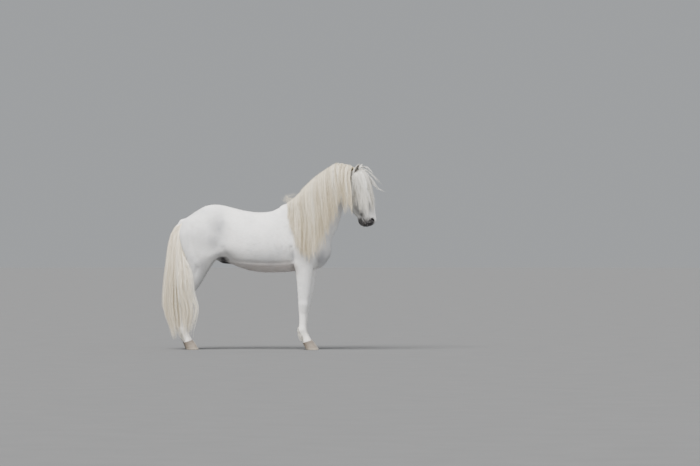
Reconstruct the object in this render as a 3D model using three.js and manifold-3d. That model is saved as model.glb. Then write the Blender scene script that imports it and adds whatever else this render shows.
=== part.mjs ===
// A life-size white Icelandic horse, standing square with its neck arched and its face near the vertical.
// Millimetres, +Z up, +X towards the head, +Y towards the horse's left. The floor is Z = 0.
// One smooth field describes the whole flesh: lofts along straight axes, blended, with muscles raised.
// Each node is a skin drawn round that field by rays from its spine, parted from its neighbours by planes.
import * as THREE from "three";
import { mergeVertices } from "three/addons/utils/BufferGeometryUtils.js";
import Module from "manifold-3d";

const wasm = await Module();
wasm.setup();

// Driving dimensions
const WITHERS_HEIGHT = 1396;
const CROUP_HEIGHT = 1415;
const BELLY_HEIGHT = 750;
const CHEST_FRONT = 590;
const BUTTOCK_REAR = -872;
const BARREL_HALF = 258;
const STANCE_FRONT = 118;
const STANCE_HIND = 118;
const KNEE_HEIGHT = 440;
const HOCK_HEIGHT = 535;
const HEAD_LENGTH = 568;
const HEAD_TURN = THREE.MathUtils.degToRad(-9);
const EYE_RADIUS = 20;
const EAR_LENGTH = 132;
// Neighbouring nodes keep this far apart.
const GAP = 0.3;
// Cuts through locks leave no edge shorter than this.
const SHORTEST_EDGE = 0.2;
// The origin is on the floor under the middle of the model's box.
const ORIGIN_SHIFT = new THREE.Vector3(-42.5, 11.6, 0);

// Torso, by X: top, bottom, half width, level of the widest point, powers of the curve above and below it
const TORSO_ROWS = [
  [BUTTOCK_REAR, 1285, 985, 150, 1140, 2.0, 2.0],
  [-800, 1300, 940, 200, 1130, 2.1, 2.0],
  [-718, 1352, 905, 218, 1120, 2.2, 2.0],
  [-622, 1402, 885, 228, 1110, 2.2, 2.0],
  [-532, CROUP_HEIGHT, 872, 228, 1095, 2.1, 2.0],
  [-443, 1404, 858, 228, 1075, 2.0, 2.0],
  [-362, 1384, 826, 236, 1050, 2.0, 2.05],
  [-265, 1360, 790, 248, 1030, 2.0, 2.1],
  [-152, 1343, 762, BARREL_HALF, 1015, 2.0, 2.1],
  [-55, 1341, 751, 256, 1010, 1.95, 2.1],
  [26, 1352, BELLY_HEIGHT, 245, 1010, 1.85, 2.1],
  [78, 1376, 751, 235, 1010, 1.75, 2.1],
  [137, WITHERS_HEIGHT, 754, 220, 1010, 1.65, 2.05],
  [236, 1370, 761, 202, 1010, 1.7, 2.0],
  [330, 1310, 772, 194, 1005, 1.8, 2.0],
  [430, 1225, 780, 186, 995, 1.9, 2.0],
  [510, 1140, 797, 172, 980, 2.0, 2.1],
  [CHEST_FRONT, 1070, 840, 150, 965, 2.0, 2.2],
];

// Neck, by the way along its axis: crest side, throat side, half width, level of the widest point, powers
const NECK_ROWS = [
  [0, 250, -260, 168, -30, 1.8, 2.2],
  [80, 290, -300, 163, -30, 1.7, 2.2],
  [151, 302, -292, 150, -30, 1.6, 2.1],
  [250, 279, -254, 126, -25, 1.6, 2.1],
  [350, 259, -224, 106, -10, 1.6, 2.1],
  [465, 248, -176, 92, 5, 1.6, 2.0],
  [575, 224, -118, 82, 25, 1.6, 2.0],
  [675, 188, -78, 76, 40, 1.7, 2.0],
  [785, 134, -50, 70, 40, 1.8, 2.0],
  [850, 72, -40, 58, 20, 2.0, 2.0],
];
const NECK_ORIGIN = new THREE.Vector3(267, 0, 1083);
const NECK_ALONG = new THREE.Vector3(0.657, 0, 0.754).normalize();
const NECK_OUT = new THREE.Vector3(-NECK_ALONG.z, 0, NECK_ALONG.x);
const NECK_BASE = 165;
const NECK_END = 862;

// Head, by the way down the face: brow side, jaw side, half width, level of the widest point, powers
const HEAD_ROWS = [
  [0, 62, -80, 60, 8, 2.0, 2.0],
  [50, 88, -104, 76, 22, 2.0, 2.0],
  [110, 106, -132, 89, 35, 2.3, 1.9],
  [175, 114, -152, 95, 42, 2.6, 1.8],
  [235, 113, -160, 88, 35, 2.6, 1.8],
  [300, 107, -157, 77, 20, 2.4, 1.9],
  [360, 105, -140, 63, 12, 2.2, 1.9],
  [420, 100, -113, 53, 8, 2.2, 2.0],
  [475, 94, -88, 50, 2, 2.2, 2.1],
  [525, 88, -78, 52, 0, 2.2, 2.2],
  [HEAD_LENGTH, 78, -68, 50, 0, 2.2, 2.2],
];
const HEAD_ORIGIN = new THREE.Vector3(820, 0, 1748);
const HEAD_ALONG = new THREE.Vector3(0.278, 0, -0.9605).normalize();
const HEAD_OUT = new THREE.Vector3(-HEAD_ALONG.z, 0, HEAD_ALONG.x);
const POLL = new THREE.Vector3(775, 0, 1720);

// Legs, by height: front edge, rear edge, distance of the middle from the centre plane, half width, power
const FRONT_LEG_ROWS = [
  [60, 428, 338, STANCE_FRONT, 45, 2.0],
  [90, 420, 334, STANCE_FRONT, 44, 2.0],
  [112, 407, 328, STANCE_FRONT, 36, 2.0],
  [138, 392, 311, STANCE_FRONT, 32, 2.0],
  [166, 379, 296, STANCE_FRONT, 34, 2.0],
  [196, 372, 290, STANCE_FRONT, 37, 2.0],
  [228, 369, 297, STANCE_FRONT, 31, 2.0],
  [270, 369, 301, STANCE_FRONT, 28, 2.1],
  [345, 371, 299, STANCE_FRONT, 28, 2.1],
  [392, 382, 294, STANCE_FRONT, 35, 2.2],
  [KNEE_HEIGHT, 393, 291, STANCE_FRONT, 43, 2.3],
  [485, 396, 289, STANCE_FRONT, 42, 2.2],
  [540, 405, 286, 119, 45, 2.1],
  [620, 416, 280, 121, 52, 2.0],
  [702, 425, 273, 125, 60, 2.0],
  [765, 434, 265, 128, 66, 2.0],
  [830, 442, 240, 130, 70, 2.0],
  [900, 470, 232, 126, 74, 2.0],
  [1000, 500, 250, 118, 76, 2.0],
];
const HIND_LEG_ROWS = [
  [60, -738, -828, STANCE_HIND, 45, 2.0],
  [90, -746, -830, STANCE_HIND, 43, 2.0],
  [112, -756, -836, STANCE_HIND, 36, 2.0],
  [138, -770, -851, STANCE_HIND, 32, 2.0],
  [166, -785, -868, STANCE_HIND, 35, 2.0],
  [198, -793, -877, STANCE_HIND, 38, 2.0],
  [230, -799, -870, STANCE_HIND, 31, 2.0],
  [300, -799, -868, 117, 28, 2.1],
  [380, -796, -870, 117, 29, 2.1],
  [440, -786, -876, 117, 34, 2.2],
  [490, -768, -888, 117, 42, 2.3],
  [HOCK_HEIGHT, -748, -897, 117, 43, 2.3],
  [570, -728, -893, 118, 40, 2.1],
  [620, -692, -862, 120, 42, 1.9],
  [690, -648, -826, 122, 52, 1.9],
  [766, -606, -800, 123, 66, 2.0],
  [847, -556, -800, 122, 90, 2.1],
  [920, -500, -820, 120, 106, 2.2],
  [1020, -455, -856, 112, 118, 2.2],
  [1137, -450, -876, 98, 124, 2.2],
  [1230, -500, -850, 84, 110, 2.1],
];
const FRONT_LEG = { rows: FRONT_LEG_ROWS, top: 1090, farLow: -26, farHigh: 10 };
const HIND_LEG = { rows: HIND_LEG_ROWS, top: 1310, farLow: -45, farHigh: -10 };

// Muscles and hollows: middle, three radii, lean in degrees about Y, and how far they raise the skin
const BODY_RELIEF = [
  { name: "shoulder blade", at: [345, 165, 1185], radii: [62, 80, 200], lean: -36, lift: 13 },
  { name: "neck base hollow", at: [455, 120, 1215], radii: [45, 70, 170], lean: -36, lift: -12 },
  { name: "point of shoulder", at: [540, 150, 1020], radii: [62, 60, 60], lean: 0, lift: 13 },
  { name: "triceps", at: [300, 185, 965], radii: [105, 70, 95], lean: 25, lift: 16 },
  { name: "girth hollow", at: [185, 195, 900], radii: [42, 80, 120], lean: -10, lift: -9 },
  { name: "breast muscle", at: [565, 75, 930], radii: [55, 52, 75], lean: 0, lift: 16 },
  { name: "breast groove", at: [590, 0, 930], radii: [60, 20, 130], lean: 0, lift: -16 },
  { name: "croup muscle", at: [-570, 125, 1330], radii: [150, 90, 70], lean: -14, lift: 10 },
  { name: "point of hip", at: [-425, 200, 1265], radii: [48, 50, 50], lean: 0, lift: 12 },
  { name: "flank hollow", at: [-385, 225, 1110], radii: [62, 70, 105], lean: 8, lift: -15 },
  { name: "haunch", at: [-700, 205, 1090], radii: [120, 80, 160], lean: 18, lift: 12 },
  { name: "stifle", at: [-525, 205, 915], radii: [60, 60, 62], lean: 0, lift: 12 },
  { name: "flank fold", at: [-462, 180, 945], radii: [50, 50, 60], lean: 30, lift: 20 },
  { name: "groin", at: [-405, 150, 880], radii: [75, 75, 70], lean: 20, lift: -26 },
  { name: "rear thigh groove", at: [-790, 190, 1030], radii: [22, 50, 150], lean: -4, lift: -7 },
  { name: "elbow", at: [242, 190, 840], radii: [36, 45, 42], lean: 0, lift: 11 },
  { name: "tail cleft", at: [-885, 0, 1130], radii: [60, 26, 120], lean: 0, lift: -22 },
  { name: "jugular groove", at: [560, 85, 1200], radii: [30, 36, 190], lean: 36, lift: -7 },
  { name: "crest swell", at: [420, 55, 1540], radii: [210, 60, 60], lean: -38, lift: 8 },
];
// The same on the head: down the face, to the side, and out from it
const HEAD_RELIEF = [
  { name: "brow", at: [158, 88, 62], radii: [36, 30, 28], lift: 12 },
  { name: "temple hollow", at: [112, 78, 66], radii: [24, 24, 22], lift: -9 },
  { name: "under the eye", at: [215, 88, 48], radii: [28, 26, 22], lift: -5 },
  { name: "cheek muscle", at: [250, 74, -78], radii: [84, 40, 68], lift: 13 },
  { name: "face ridge", at: [288, 74, 6], radii: [72, 26, 13], lift: 6 },
  { name: "side of the nose", at: [375, 60, 50], radii: [62, 30, 24], lift: -8 },
  { name: "behind the lips", at: [425, 52, -32], radii: [46, 26, 26], lift: -7 },
  { name: "nostril flare", at: [506, 48, 46], radii: [30, 24, 26], lift: 13 },
  { name: "upper lip", at: [544, 26, 26], radii: [26, 34, 34], lift: 8 },
  { name: "lower lip", at: [538, 22, -40], radii: [24, 30, 20], lift: 6 },
  { name: "chin", at: [505, 0, -84], radii: [28, 30, 22], lift: 11 },
  { name: "chin groove", at: [452, 0, -100], radii: [26, 34, 20], lift: -8 },
  { name: "between the jaws", at: [330, 0, -155], radii: [110, 22, 40], lift: -20 },
];

// A smooth curve through each column of a table, read from a fine lookup
function profile(rows) {
  const samples = 400;
  const first = rows[0][0];
  const last = rows[rows.length - 1][0];
  const columns = rows[0].length - 1;
  const table = new Float64Array((samples + 1) * columns);
  for (let s = 0; s <= samples; s++) {
    const t = first + ((last - first) * s) / samples;
    let i = 0;
    while (i < rows.length - 2 && rows[i + 1][0] < t) i++;
    const [a, b] = [rows[i], rows[i + 1]];
    const before = rows[Math.max(0, i - 1)];
    const after = rows[Math.min(rows.length - 1, i + 2)];
    const span = b[0] - a[0];
    const u = (t - a[0]) / span;
    for (let c = 1; c <= columns; c++) {
      const slopeA = ((b[c] - before[c]) / (b[0] - before[0])) * span;
      const slopeB = ((after[c] - a[c]) / (after[0] - a[0])) * span;
      table[s * columns + c - 1] =
        a[c] * (2 * u ** 3 - 3 * u ** 2 + 1) +
        slopeA * (u ** 3 - 2 * u ** 2 + u) +
        b[c] * (3 * u ** 2 - 2 * u ** 3) +
        slopeB * (u ** 3 - u ** 2);
    }
  }
  return (t) => {
    const where = THREE.MathUtils.clamp(((t - first) / (last - first)) * samples, 0, samples - 1e-6);
    const i = Math.floor(where);
    const part = where - i;
    const out = new Array(columns);
    for (let c = 0; c < columns; c++) {
      out[c] = table[i * columns + c] * (1 - part) + table[(i + 1) * columns + c] * part;
    }
    return out;
  };
}

function makeLoft(rows, capStart, capEnd) {
  return { at: profile(rows), start: rows[0][0], end: rows[rows.length - 1][0], capStart, capEnd };
}
const torsoLoft = makeLoft(TORSO_ROWS, 105, 100);
const neckLoft = makeLoft(NECK_ROWS, 60, 60);
const headLoft = makeLoft(HEAD_ROWS, 55, 40);
for (const leg of [FRONT_LEG, HIND_LEG]) leg.at = profile(leg.rows);

// How far a point is outside a loft with rounded ends: about millimetres near the skin, negative inside
function loftDistance(along, side, out, loft) {
  const [up, down, half, level, powerUp, powerDown] = loft.at(along);
  const rise = out - level;
  const reach = rise > 0 ? up - level : level - down;
  const power = rise > 0 ? powerUp : powerDown;
  const q = (Math.abs(rise) / reach) ** power + (Math.abs(side) / half) ** power;
  const share = q ** (1 / power);
  const skinRadius = share > 1e-6 ? Math.hypot(rise, side) / share : Math.min(reach, half);
  const intoStart = (loft.start + loft.capStart - along) / loft.capStart;
  const intoEnd = (along - loft.end + loft.capEnd) / loft.capEnd;
  const past = Math.max(intoStart, intoEnd, 0);
  if (past === 0) return (share - 1) * skinRadius;
  const cap = intoStart > intoEnd ? loft.capStart : loft.capEnd;
  const scale = (skinRadius * share + cap * past) / (share + past);
  return (Math.hypot(share, past) - 1) * scale;
}

// The leg away from the viewer stands a little out of line with the near one; this fades out up the leg.
function farShift(z, leg) {
  const fade = THREE.MathUtils.clamp((900 - z) / 120, 0, 1);
  return fade * THREE.MathUtils.lerp(leg.farLow, leg.farHigh, THREE.MathUtils.clamp(z / 600, 0, 1));
}
function legDistance(x, y, z, leg) {
  const [front, rear, away, half, power] = leg.at(z);
  const along = x - (front + rear) / 2 - (y > 0 ? farShift(z, leg) : 0);
  const side = Math.abs(y) - away;
  const reach = (front - rear) / 2;
  const share = ((Math.abs(along) / reach) ** power + (Math.abs(side) / half) ** power) ** (1 / power);
  const skinRadius = share > 1e-6 ? Math.hypot(along, side) / share : Math.min(reach, half);
  const past = Math.max(0, z - leg.top + 90) / 90;
  return (Math.hypot(share, past) - 1) * skinRadius;
}

function smoothUnion(a, b, blend) {
  const near = Math.max(blend - Math.abs(a - b), 0) / blend;
  return Math.min(a, b) - (near * near * blend) / 4;
}

for (const form of [...BODY_RELIEF, ...HEAD_RELIEF]) {
  form.cos = Math.cos(THREE.MathUtils.degToRad(form.lean ?? 0));
  form.sin = Math.sin(THREE.MathUtils.degToRad(form.lean ?? 0));
}
function reliefAt(list, x, y, z) {
  let sum = 0;
  for (const form of list) {
    const dx = x - form.at[0];
    const dy = (form.at[1] === 0 ? y : Math.abs(y) - form.at[1]) / form.radii[1];
    const dz = z - form.at[2];
    const across = (dx * form.cos - dz * form.sin) / form.radii[0];
    const up = (dx * form.sin + dz * form.cos) / form.radii[2];
    const q = dy * dy + across * across + up * up;
    if (q < 9) sum += form.lift * Math.exp(-q);
  }
  return sum;
}

// A world point in the head's own frame (down the face, to the side, out from it), and back
function toHead(x, y, z) {
  const dx = x - POLL.x;
  const sx = POLL.x + dx * Math.cos(HEAD_TURN) + y * Math.sin(HEAD_TURN) - HEAD_ORIGIN.x;
  const side = -dx * Math.sin(HEAD_TURN) + y * Math.cos(HEAD_TURN);
  const sz = z - HEAD_ORIGIN.z;
  return [sx * HEAD_ALONG.x + sz * HEAD_ALONG.z, side, sx * HEAD_OUT.x + sz * HEAD_OUT.z];
}
function fromHead(along, side, out) {
  const sx = HEAD_ORIGIN.x + along * HEAD_ALONG.x + out * HEAD_OUT.x - POLL.x;
  const z = HEAD_ORIGIN.z + along * HEAD_ALONG.z + out * HEAD_OUT.z;
  const x = POLL.x + sx * Math.cos(HEAD_TURN) - side * Math.sin(HEAD_TURN);
  return new THREE.Vector3(x, sx * Math.sin(HEAD_TURN) + side * Math.cos(HEAD_TURN), z);
}
function headDirection(along, side, out) {
  return fromHead(along, side, out).sub(fromHead(0, 0, 0)).normalize();
}
function onNeck(along, side, out) {
  return NECK_ORIGIN.clone().addScaledVector(NECK_ALONG, along).addScaledVector(NECK_OUT, out)
    .add(new THREE.Vector3(0, side, 0));
}

// The whole flesh: about millimetres from the skin, negative inside
function flesh(p) {
  const { x, y, z } = p;
  let d = loftDistance(x, y, z, torsoLoft);
  if (z > 850 && x > 100) {
    const nx = x - NECK_ORIGIN.x;
    const nz = z - NECK_ORIGIN.z;
    const along = nx * NECK_ALONG.x + nz * NECK_ALONG.z;
    d = smoothUnion(d, loftDistance(along, y, nx * NECK_OUT.x + nz * NECK_OUT.z, neckLoft), 70);
    const [down, side, out] = toHead(x, y, z);
    d = smoothUnion(d, loftDistance(down, side, out, headLoft) - reliefAt(HEAD_RELIEF, down, side, out), 26);
  }
  d = smoothUnion(d, legDistance(x, y, z, FRONT_LEG), 46);
  d = smoothUnion(d, legDistance(x, y, z, HIND_LEG), 46);
  d = smoothUnion(d, Math.hypot((x + 432) / 2.1, y, (z - 868) / 1.1) - 30, 30);
  return d - reliefAt(BODY_RELIEF, x, y, z);
}

// Planes that part the nodes: a point on each and the side that it faces
const NECK_PLANE = { at: onNeck(NECK_BASE, 0, 0), facing: NECK_ALONG };
const HEAD_PLANE = {
  at: new THREE.Vector3(735, 0, 1412),
  facing: new THREE.Vector3(0.992, 0, -0.128).normalize(),
};
const FRONT_LEG_PLANE = {
  at: new THREE.Vector3(137, 0, 746),
  facing: new THREE.Vector3(0.12, 0, -1).normalize(),
};
const HIND_LEG_PLANE = {
  at: new THREE.Vector3(-362, 0, 818),
  facing: new THREE.Vector3(-0.25, 0, -1).normalize(),
};
function beyond(plane, p) {
  return plane.facing.x * (p.x - plane.at.x) + plane.facing.z * (p.z - plane.at.z);
}

// Closed solid from rings of points, ended by a point or by a flat fan about the ring's middle
function loftRings(rings, { startPoint, endPoint } = {}) {
  const count = rings[0].length;
  const points = rings.flat();
  const faces = [];
  for (let r = 0; r < rings.length - 1; r++) {
    for (let j = 0; j < count; j++) {
      const a = r * count + j;
      const b = r * count + ((j + 1) % count);
      faces.push([a, b, b + count], [a, b + count, a + count]);
    }
  }
  const middle = (ring) => ring.reduce((sum, p) => sum.add(p), new THREE.Vector3()).divideScalar(count);
  const start = points.push(startPoint ?? middle(rings[0])) - 1;
  const end = points.push(endPoint ?? middle(rings[rings.length - 1])) - 1;
  const lastRing = (rings.length - 1) * count;
  for (let j = 0; j < count; j++) {
    const next = (j + 1) % count;
    faces.push([start, next, j], [end, lastRing + j, lastRing + next]);
  }
  return solidOf(points, faces);
}

// A manifold solid from points and triangles, turned right side out
function solidOf(points, faces) {
  let volume = 0;
  for (const [a, b, c] of faces) {
    volume += points[a].dot(new THREE.Vector3().crossVectors(points[b], points[c]));
  }
  const turned = volume < 0 ? faces.map(([a, b, c]) => [a, c, b]) : faces;
  const vertProperties = new Float32Array(points.flatMap((p) => [p.x, p.y, p.z]));
  const triVerts = new Uint32Array(turned.flat());
  return new wasm.Manifold(new wasm.Mesh({ numProp: 3, vertProperties, triVerts }));
}

function solidOfGeometry(geometry) {
  const bare = geometry.clone();
  bare.deleteAttribute("normal");
  bare.deleteAttribute("uv");
  const merged = mergeVertices(bare, 1e-4);
  const mesh = new wasm.Mesh({
    numProp: 3,
    vertProperties: new Float32Array(merged.attributes.position.array),
    triVerts: new Uint32Array(merged.index.array),
  });
  return new wasm.Manifold(mesh);
}

// A block whose one face lies on a plane, moved by a distance, and which fills the side that it faces
function blockBeyond(plane, distance, middle, width) {
  const geometry = new THREE.BoxGeometry(width, width, width);
  geometry.translate(0, 0, width / 2 + distance);
  const turn = new THREE.Quaternion().setFromUnitVectors(new THREE.Vector3(0, 0, 1), plane.facing);
  geometry.applyQuaternion(turn);
  const offset = middle.clone().addScaledVector(plane.facing, -beyond(plane, middle));
  geometry.translate(offset.x, offset.y, offset.z);
  return solidOfGeometry(geometry);
}
function flipped(plane) {
  return { at: plane.at, facing: plane.facing.clone().negate() };
}

// The point where a ray from inside the flesh meets the skin, or the limit past which nothing is drawn
function skinAlong(origin, direction, grow, limit) {
  const depth = (reach) => {
    const p = origin.clone().addScaledVector(direction, reach);
    return Math.max(flesh(p) - grow, limit(p));
  };
  let near = 0;
  let far = 0;
  for (let step = 0; step < 400; step++) {
    const d = depth(far);
    if (d > 0) break;
    near = far;
    far += Math.max(-d * 0.7, 1.5);
  }
  for (let halving = 0; halving < 14; halving++) {
    const half = (near + far) / 2;
    if (depth(half) > 0) far = half;
    else near = half;
  }
  return origin.clone().addScaledVector(direction, near);
}

// Skin round a spine: each station has an origin, an axis, an up direction and a tilt of its rays
function raySkin(stations, rays, grow, limit) {
  const rings = stations.map(({ origin, axis, up, tilt }) => {
    const across = new THREE.Vector3().crossVectors(axis, up);
    return Array.from({ length: rays }, (_, j) => {
      const angle = (2 * Math.PI * j) / rays;
      const direction = up.clone().multiplyScalar(Math.cos(angle) * Math.cos(tilt))
        .addScaledVector(across, Math.sin(angle) * Math.cos(tilt))
        .addScaledVector(axis, Math.sin(tilt));
      return skinAlong(origin, direction, grow, limit);
    });
  });
  const first = stations[0];
  const last = stations[stations.length - 1];
  const startPoint = skinAlong(first.origin, first.axis.clone().negate(), grow, limit);
  const endPoint = skinAlong(last.origin, last.axis, grow, limit);
  return loftRings(rings, { startPoint, endPoint });
}

// Stations along a straight or curved spine, with rays that fan out over each end
function spineStations(path, count, up, fanSteps) {
  const stations = [];
  const fan = (t, sign) => {
    for (let f = 1; f <= fanSteps; f++) {
      const tilt = (sign * f * Math.PI) / 2 / (fanSteps + 1);
      stations.push({ origin: path(t).origin, axis: path(t).axis, up: up(t), tilt });
    }
  };
  fan(0, -1);
  stations.reverse();
  for (let i = 0; i < count; i++) {
    const t = i / (count - 1);
    stations.push({ origin: path(t).origin, axis: path(t).axis, up: up(t), tilt: 0 });
  }
  fan(1, 1);
  return stations;
}

const UP = new THREE.Vector3(0, 0, 1);
const FORWARD = new THREE.Vector3(1, 0, 0);
const CUT_MARGIN = 40;

function torsoSkin(grow) {
  const path = (t) => ({
    origin: new THREE.Vector3(THREE.MathUtils.lerp(-775, 500, t), 0, THREE.MathUtils.lerp(1120, 1000, t)),
    axis: FORWARD,
  });
  const limit = (p) => Math.max(
    beyond(p.x > 0 ? FRONT_LEG_PLANE : HIND_LEG_PLANE, p) - CUT_MARGIN,
    beyond(NECK_PLANE, p) - CUT_MARGIN,
  );
  return raySkin(spineStations(path, 26, () => UP, 3), 30, grow, limit);
}
function torsoSolid(grow, gap) {
  return torsoSkin(grow)
    .subtract(blockBeyond(NECK_PLANE, gap, NECK_PLANE.at, 1600))
    .subtract(blockBeyond(FRONT_LEG_PLANE, gap, new THREE.Vector3(900, 0, 700), 1400))
    .subtract(blockBeyond(HIND_LEG_PLANE, gap, new THREE.Vector3(-1080, 0, 900), 1400));
}

function neckSkin(grow) {
  const path = (t) => {
    const along = THREE.MathUtils.lerp(110, 800, t);
    const [up, down] = neckLoft.at(along);
    return { origin: onNeck(along, 0, (up + down) / 2 + 30 * t), axis: NECK_ALONG };
  };
  const limit = (p) => Math.max(beyond(HEAD_PLANE, p) - CUT_MARGIN, -beyond(NECK_PLANE, p) - CUT_MARGIN);
  return raySkin(spineStations(path, 12, () => NECK_OUT, 3), 24, grow, limit);
}
function neckSolid(grow, gap) {
  return neckSkin(grow)
    .subtract(blockBeyond(flipped(NECK_PLANE), gap, NECK_PLANE.at, 1600))
    .subtract(blockBeyond(HEAD_PLANE, gap, HEAD_PLANE.at, 1600));
}

function headSkin(grow) {
  const path = (t) => {
    return { origin: fromHead(THREE.MathUtils.lerp(60, 512, t), 0, 0), axis: headDirection(1, 0, 0) };
  };
  const limit = (p) => -beyond(HEAD_PLANE, p) - CUT_MARGIN;
  return raySkin(spineStations(path, 25, () => headDirection(0, 0, 1), 3), 28, grow, limit);
}
function headSolid(grow, gap) {
  return headSkin(grow).subtract(blockBeyond(flipped(HEAD_PLANE), gap, HEAD_PLANE.at, 1600));
}

// A length of leg between two slanted levels: heights at the leg's own middle and slopes along X
function legLength(leg, sideSign, low, high, rings, rays, grow) {
  const stations = [];
  for (let i = 0; i < rings; i++) {
    const t = i / (rings - 1);
    const z = THREE.MathUtils.lerp(low.z, high.z, t);
    const slope = low.slope * (1 - t) ** 2 + high.slope * t ** 2;
    const [front, rear, away] = leg.at(z);
    const x = (front + rear) / 2 + (sideSign > 0 ? farShift(z, leg) : 0);
    stations.push({ origin: new THREE.Vector3(x, sideSign * away, z), slope });
  }
  const limit = (p) => 4 - p.y * sideSign;
  const sections = stations.map(({ origin, slope }) => Array.from({ length: rays }, (_, j) => {
    const angle = (2 * Math.PI * j) / rays;
    const rise = Math.cos(angle) * slope;
    const direction = new THREE.Vector3(Math.cos(angle), Math.sin(angle), rise).normalize();
    return skinAlong(origin, direction, grow, limit);
  }));
  return loftRings(sections);
}

// Where a leg's middle line meets the plane that parts it from the trunk
function planeLevel(leg, plane) {
  let z = plane.at.z;
  for (let pass = 0; pass < 6; pass++) {
    const [front, rear] = leg.at(z);
    z = plane.at.z - (plane.facing.x * ((front + rear) / 2 - plane.at.x)) / plane.facing.z;
  }
  return { z: z - GAP, slope: -plane.facing.x / plane.facing.z };
}
const HALF_GAP = GAP / 2;

// Locks of hair
// Seeded random numbers between low and high
function makeRandom(seed) {
  let state = seed;
  return (low, high) => {
    state = (state * 1664525 + 1013904223) >>> 0;
    return low + ((high - low) * state) / 4294967296;
  };
}

// Direction in which the way out of the flesh is shortest
function outward(p) {
  const step = 2;
  const slope = (axis) => {
    const shift = new THREE.Vector3().setComponent(axis, step);
    return flesh(p.clone().add(shift)) - flesh(p.clone().sub(shift));
  };
  return new THREE.Vector3(slope(0), slope(1), slope(2)).normalize();
}

// The way of a hair that leaves its root, bends to the pull of its weight and rests on the flesh
function drape(start, leaving, length, { lift, pull, bend, hold = Infinity }) {
  const step = 16;
  const path = [start.clone()];
  const p = start.clone();
  const heading = leaving.clone().normalize();
  for (let gone = 0; gone < length; gone += step) {
    heading.lerp(pull, bend).normalize();
    p.addScaledVector(heading, step);
    const clear = gone < 3 * step ? -hold : lift;
    const depth = flesh(p);
    if (depth < clear) p.addScaledVector(outward(p), clear - depth);
    path.push(p.clone());
  }
  return path;
}

// Points along a finer path, closer together near its root
function resample(path, count, crowding = 1) {
  const curve = new THREE.CatmullRomCurve3(path);
  return Array.from({ length: count }, (_, i) => curve.getPointAt((i / (count - 1)) ** crowding));
}

// A flat lock of four-sided section: narrow at its root, soon full, and tapering to its tip
function lock(path, { width, thick, points, rootShare = 0.35, fullBy = 0.3, facing = outward }) {
  const way = resample(path, points, 1.35);
  const rings = [];
  for (let i = 0; i < points - 1; i++) {
    const t = (i / (points - 1)) ** 1.35;
    const along = way[i + 1].clone().sub(way[Math.max(0, i - 1)]).normalize();
    const across = new THREE.Vector3().crossVectors(along, facing(way[i])).normalize();
    const normal = new THREE.Vector3().crossVectors(across, along).normalize();
    const swell = THREE.MathUtils.lerp(rootShare, 1, Math.min(1, t / fullBy)) * Math.sqrt(1 - t ** 3);
    const half = (width / 2) * swell;
    const deep = (thick / 2) * (0.45 + 0.55 * swell);
    rings.push([
      way[i].clone().addScaledVector(across, half),
      way[i].clone().addScaledVector(normal, deep),
      way[i].clone().addScaledVector(across, -half),
      way[i].clone().addScaledVector(normal, -deep),
    ]);
  }
  return loftRings(rings, { endPoint: way[points - 1] });
}

// Points of a circle about a middle, in the plane of two directions
function ringRound(middle, first, second, radius, count) {
  return Array.from({ length: count }, (_, j) => {
    const turn = (2 * Math.PI * j) / count;
    return middle.clone().addScaledVector(first, radius * Math.cos(turn))
      .addScaledVector(second, radius * Math.sin(turn));
  });
}

// A path moved off the flesh by a height that is reached over its first points
function raisedPath(path, height) {
  const share = (i) => Math.min(1, Math.max(0, i - 1) / 5);
  return path.map((p, i) => p.clone().addScaledVector(outward(p), height * share(i)));
}

// Root points along the crest, from the withers to the poll
function crestPoint(along) {
  const [up, down] = neckLoft.at(along);
  const inside = onNeck(along, 0, (up + down) / 2);
  return skinAlong(inside, NECK_OUT, 0, () => -1);
}

// Mane, by the way along the neck: length of the locks that hang on the viewer's side
const maneLength = profile([
  [190, 300],
  [250, 500],
  [350, 690],
  [500, 830],
  [640, 850],
  [740, 740],
  [870, 560],
]);
// Locks that follow one another lie at different heights, so that they overlap like shingles.
const SHINGLE = 12.5;
const MANE_SIDES = [
  { count: 22, from: 214, to: 864, side: -1, layers: 3, share: 1, width: 90, thick: 11 },
  { count: 7, from: 255, to: 820, side: 1, layers: 2, share: 0.36, width: 108, thick: 11 },
];
// Towards the poll the wind lifts the hair off the crest before it falls.
const CREST_LOFT = 58;
function maneLocks() {
  const random = makeRandom(7);
  const locks = [];
  for (const { count, from, to, side, layers, share, width, thick } of MANE_SIDES) {
    for (let i = 0; i < count; i++) {
      const t = i / (count - 1);
      const along = THREE.MathUtils.lerp(from, to, t) + random(-5, 5);
      const start = crestPoint(along).addScaledVector(NECK_OUT, -20);
      const leaving = new THREE.Vector3(0.2, side * 0.7, 0.5).addScaledVector(NECK_OUT, 0.3 + 0.5 * t);
      const lean = 0.05 + random(-0.02, 0.02) + 0.1 * t ** 3;
      const pull = new THREE.Vector3(lean, side * 0.14, -1).normalize();
      const length = maneLength(along)[0] * share * random(0.88, 1.04);
      const path = drape(start, leaving, length, { lift: 13, pull, bend: 0.24 - 0.09 * t, hold: 12 });
      const raised = raisedPath(path, (i % layers) * SHINGLE);
      const loft = side < 0 ? CREST_LOFT * t ** 2 : 0;
      for (let k = 2; k < raised.length; k++) raised[k].addScaledVector(NECK_OUT, loft * Math.exp(-k / 5));
      locks.push(lock(raised, { width: width * random(0.88, 1.08), thick, points: side < 0 ? 7 : 5 }));
    }
  }
  return locks;
}

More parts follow.
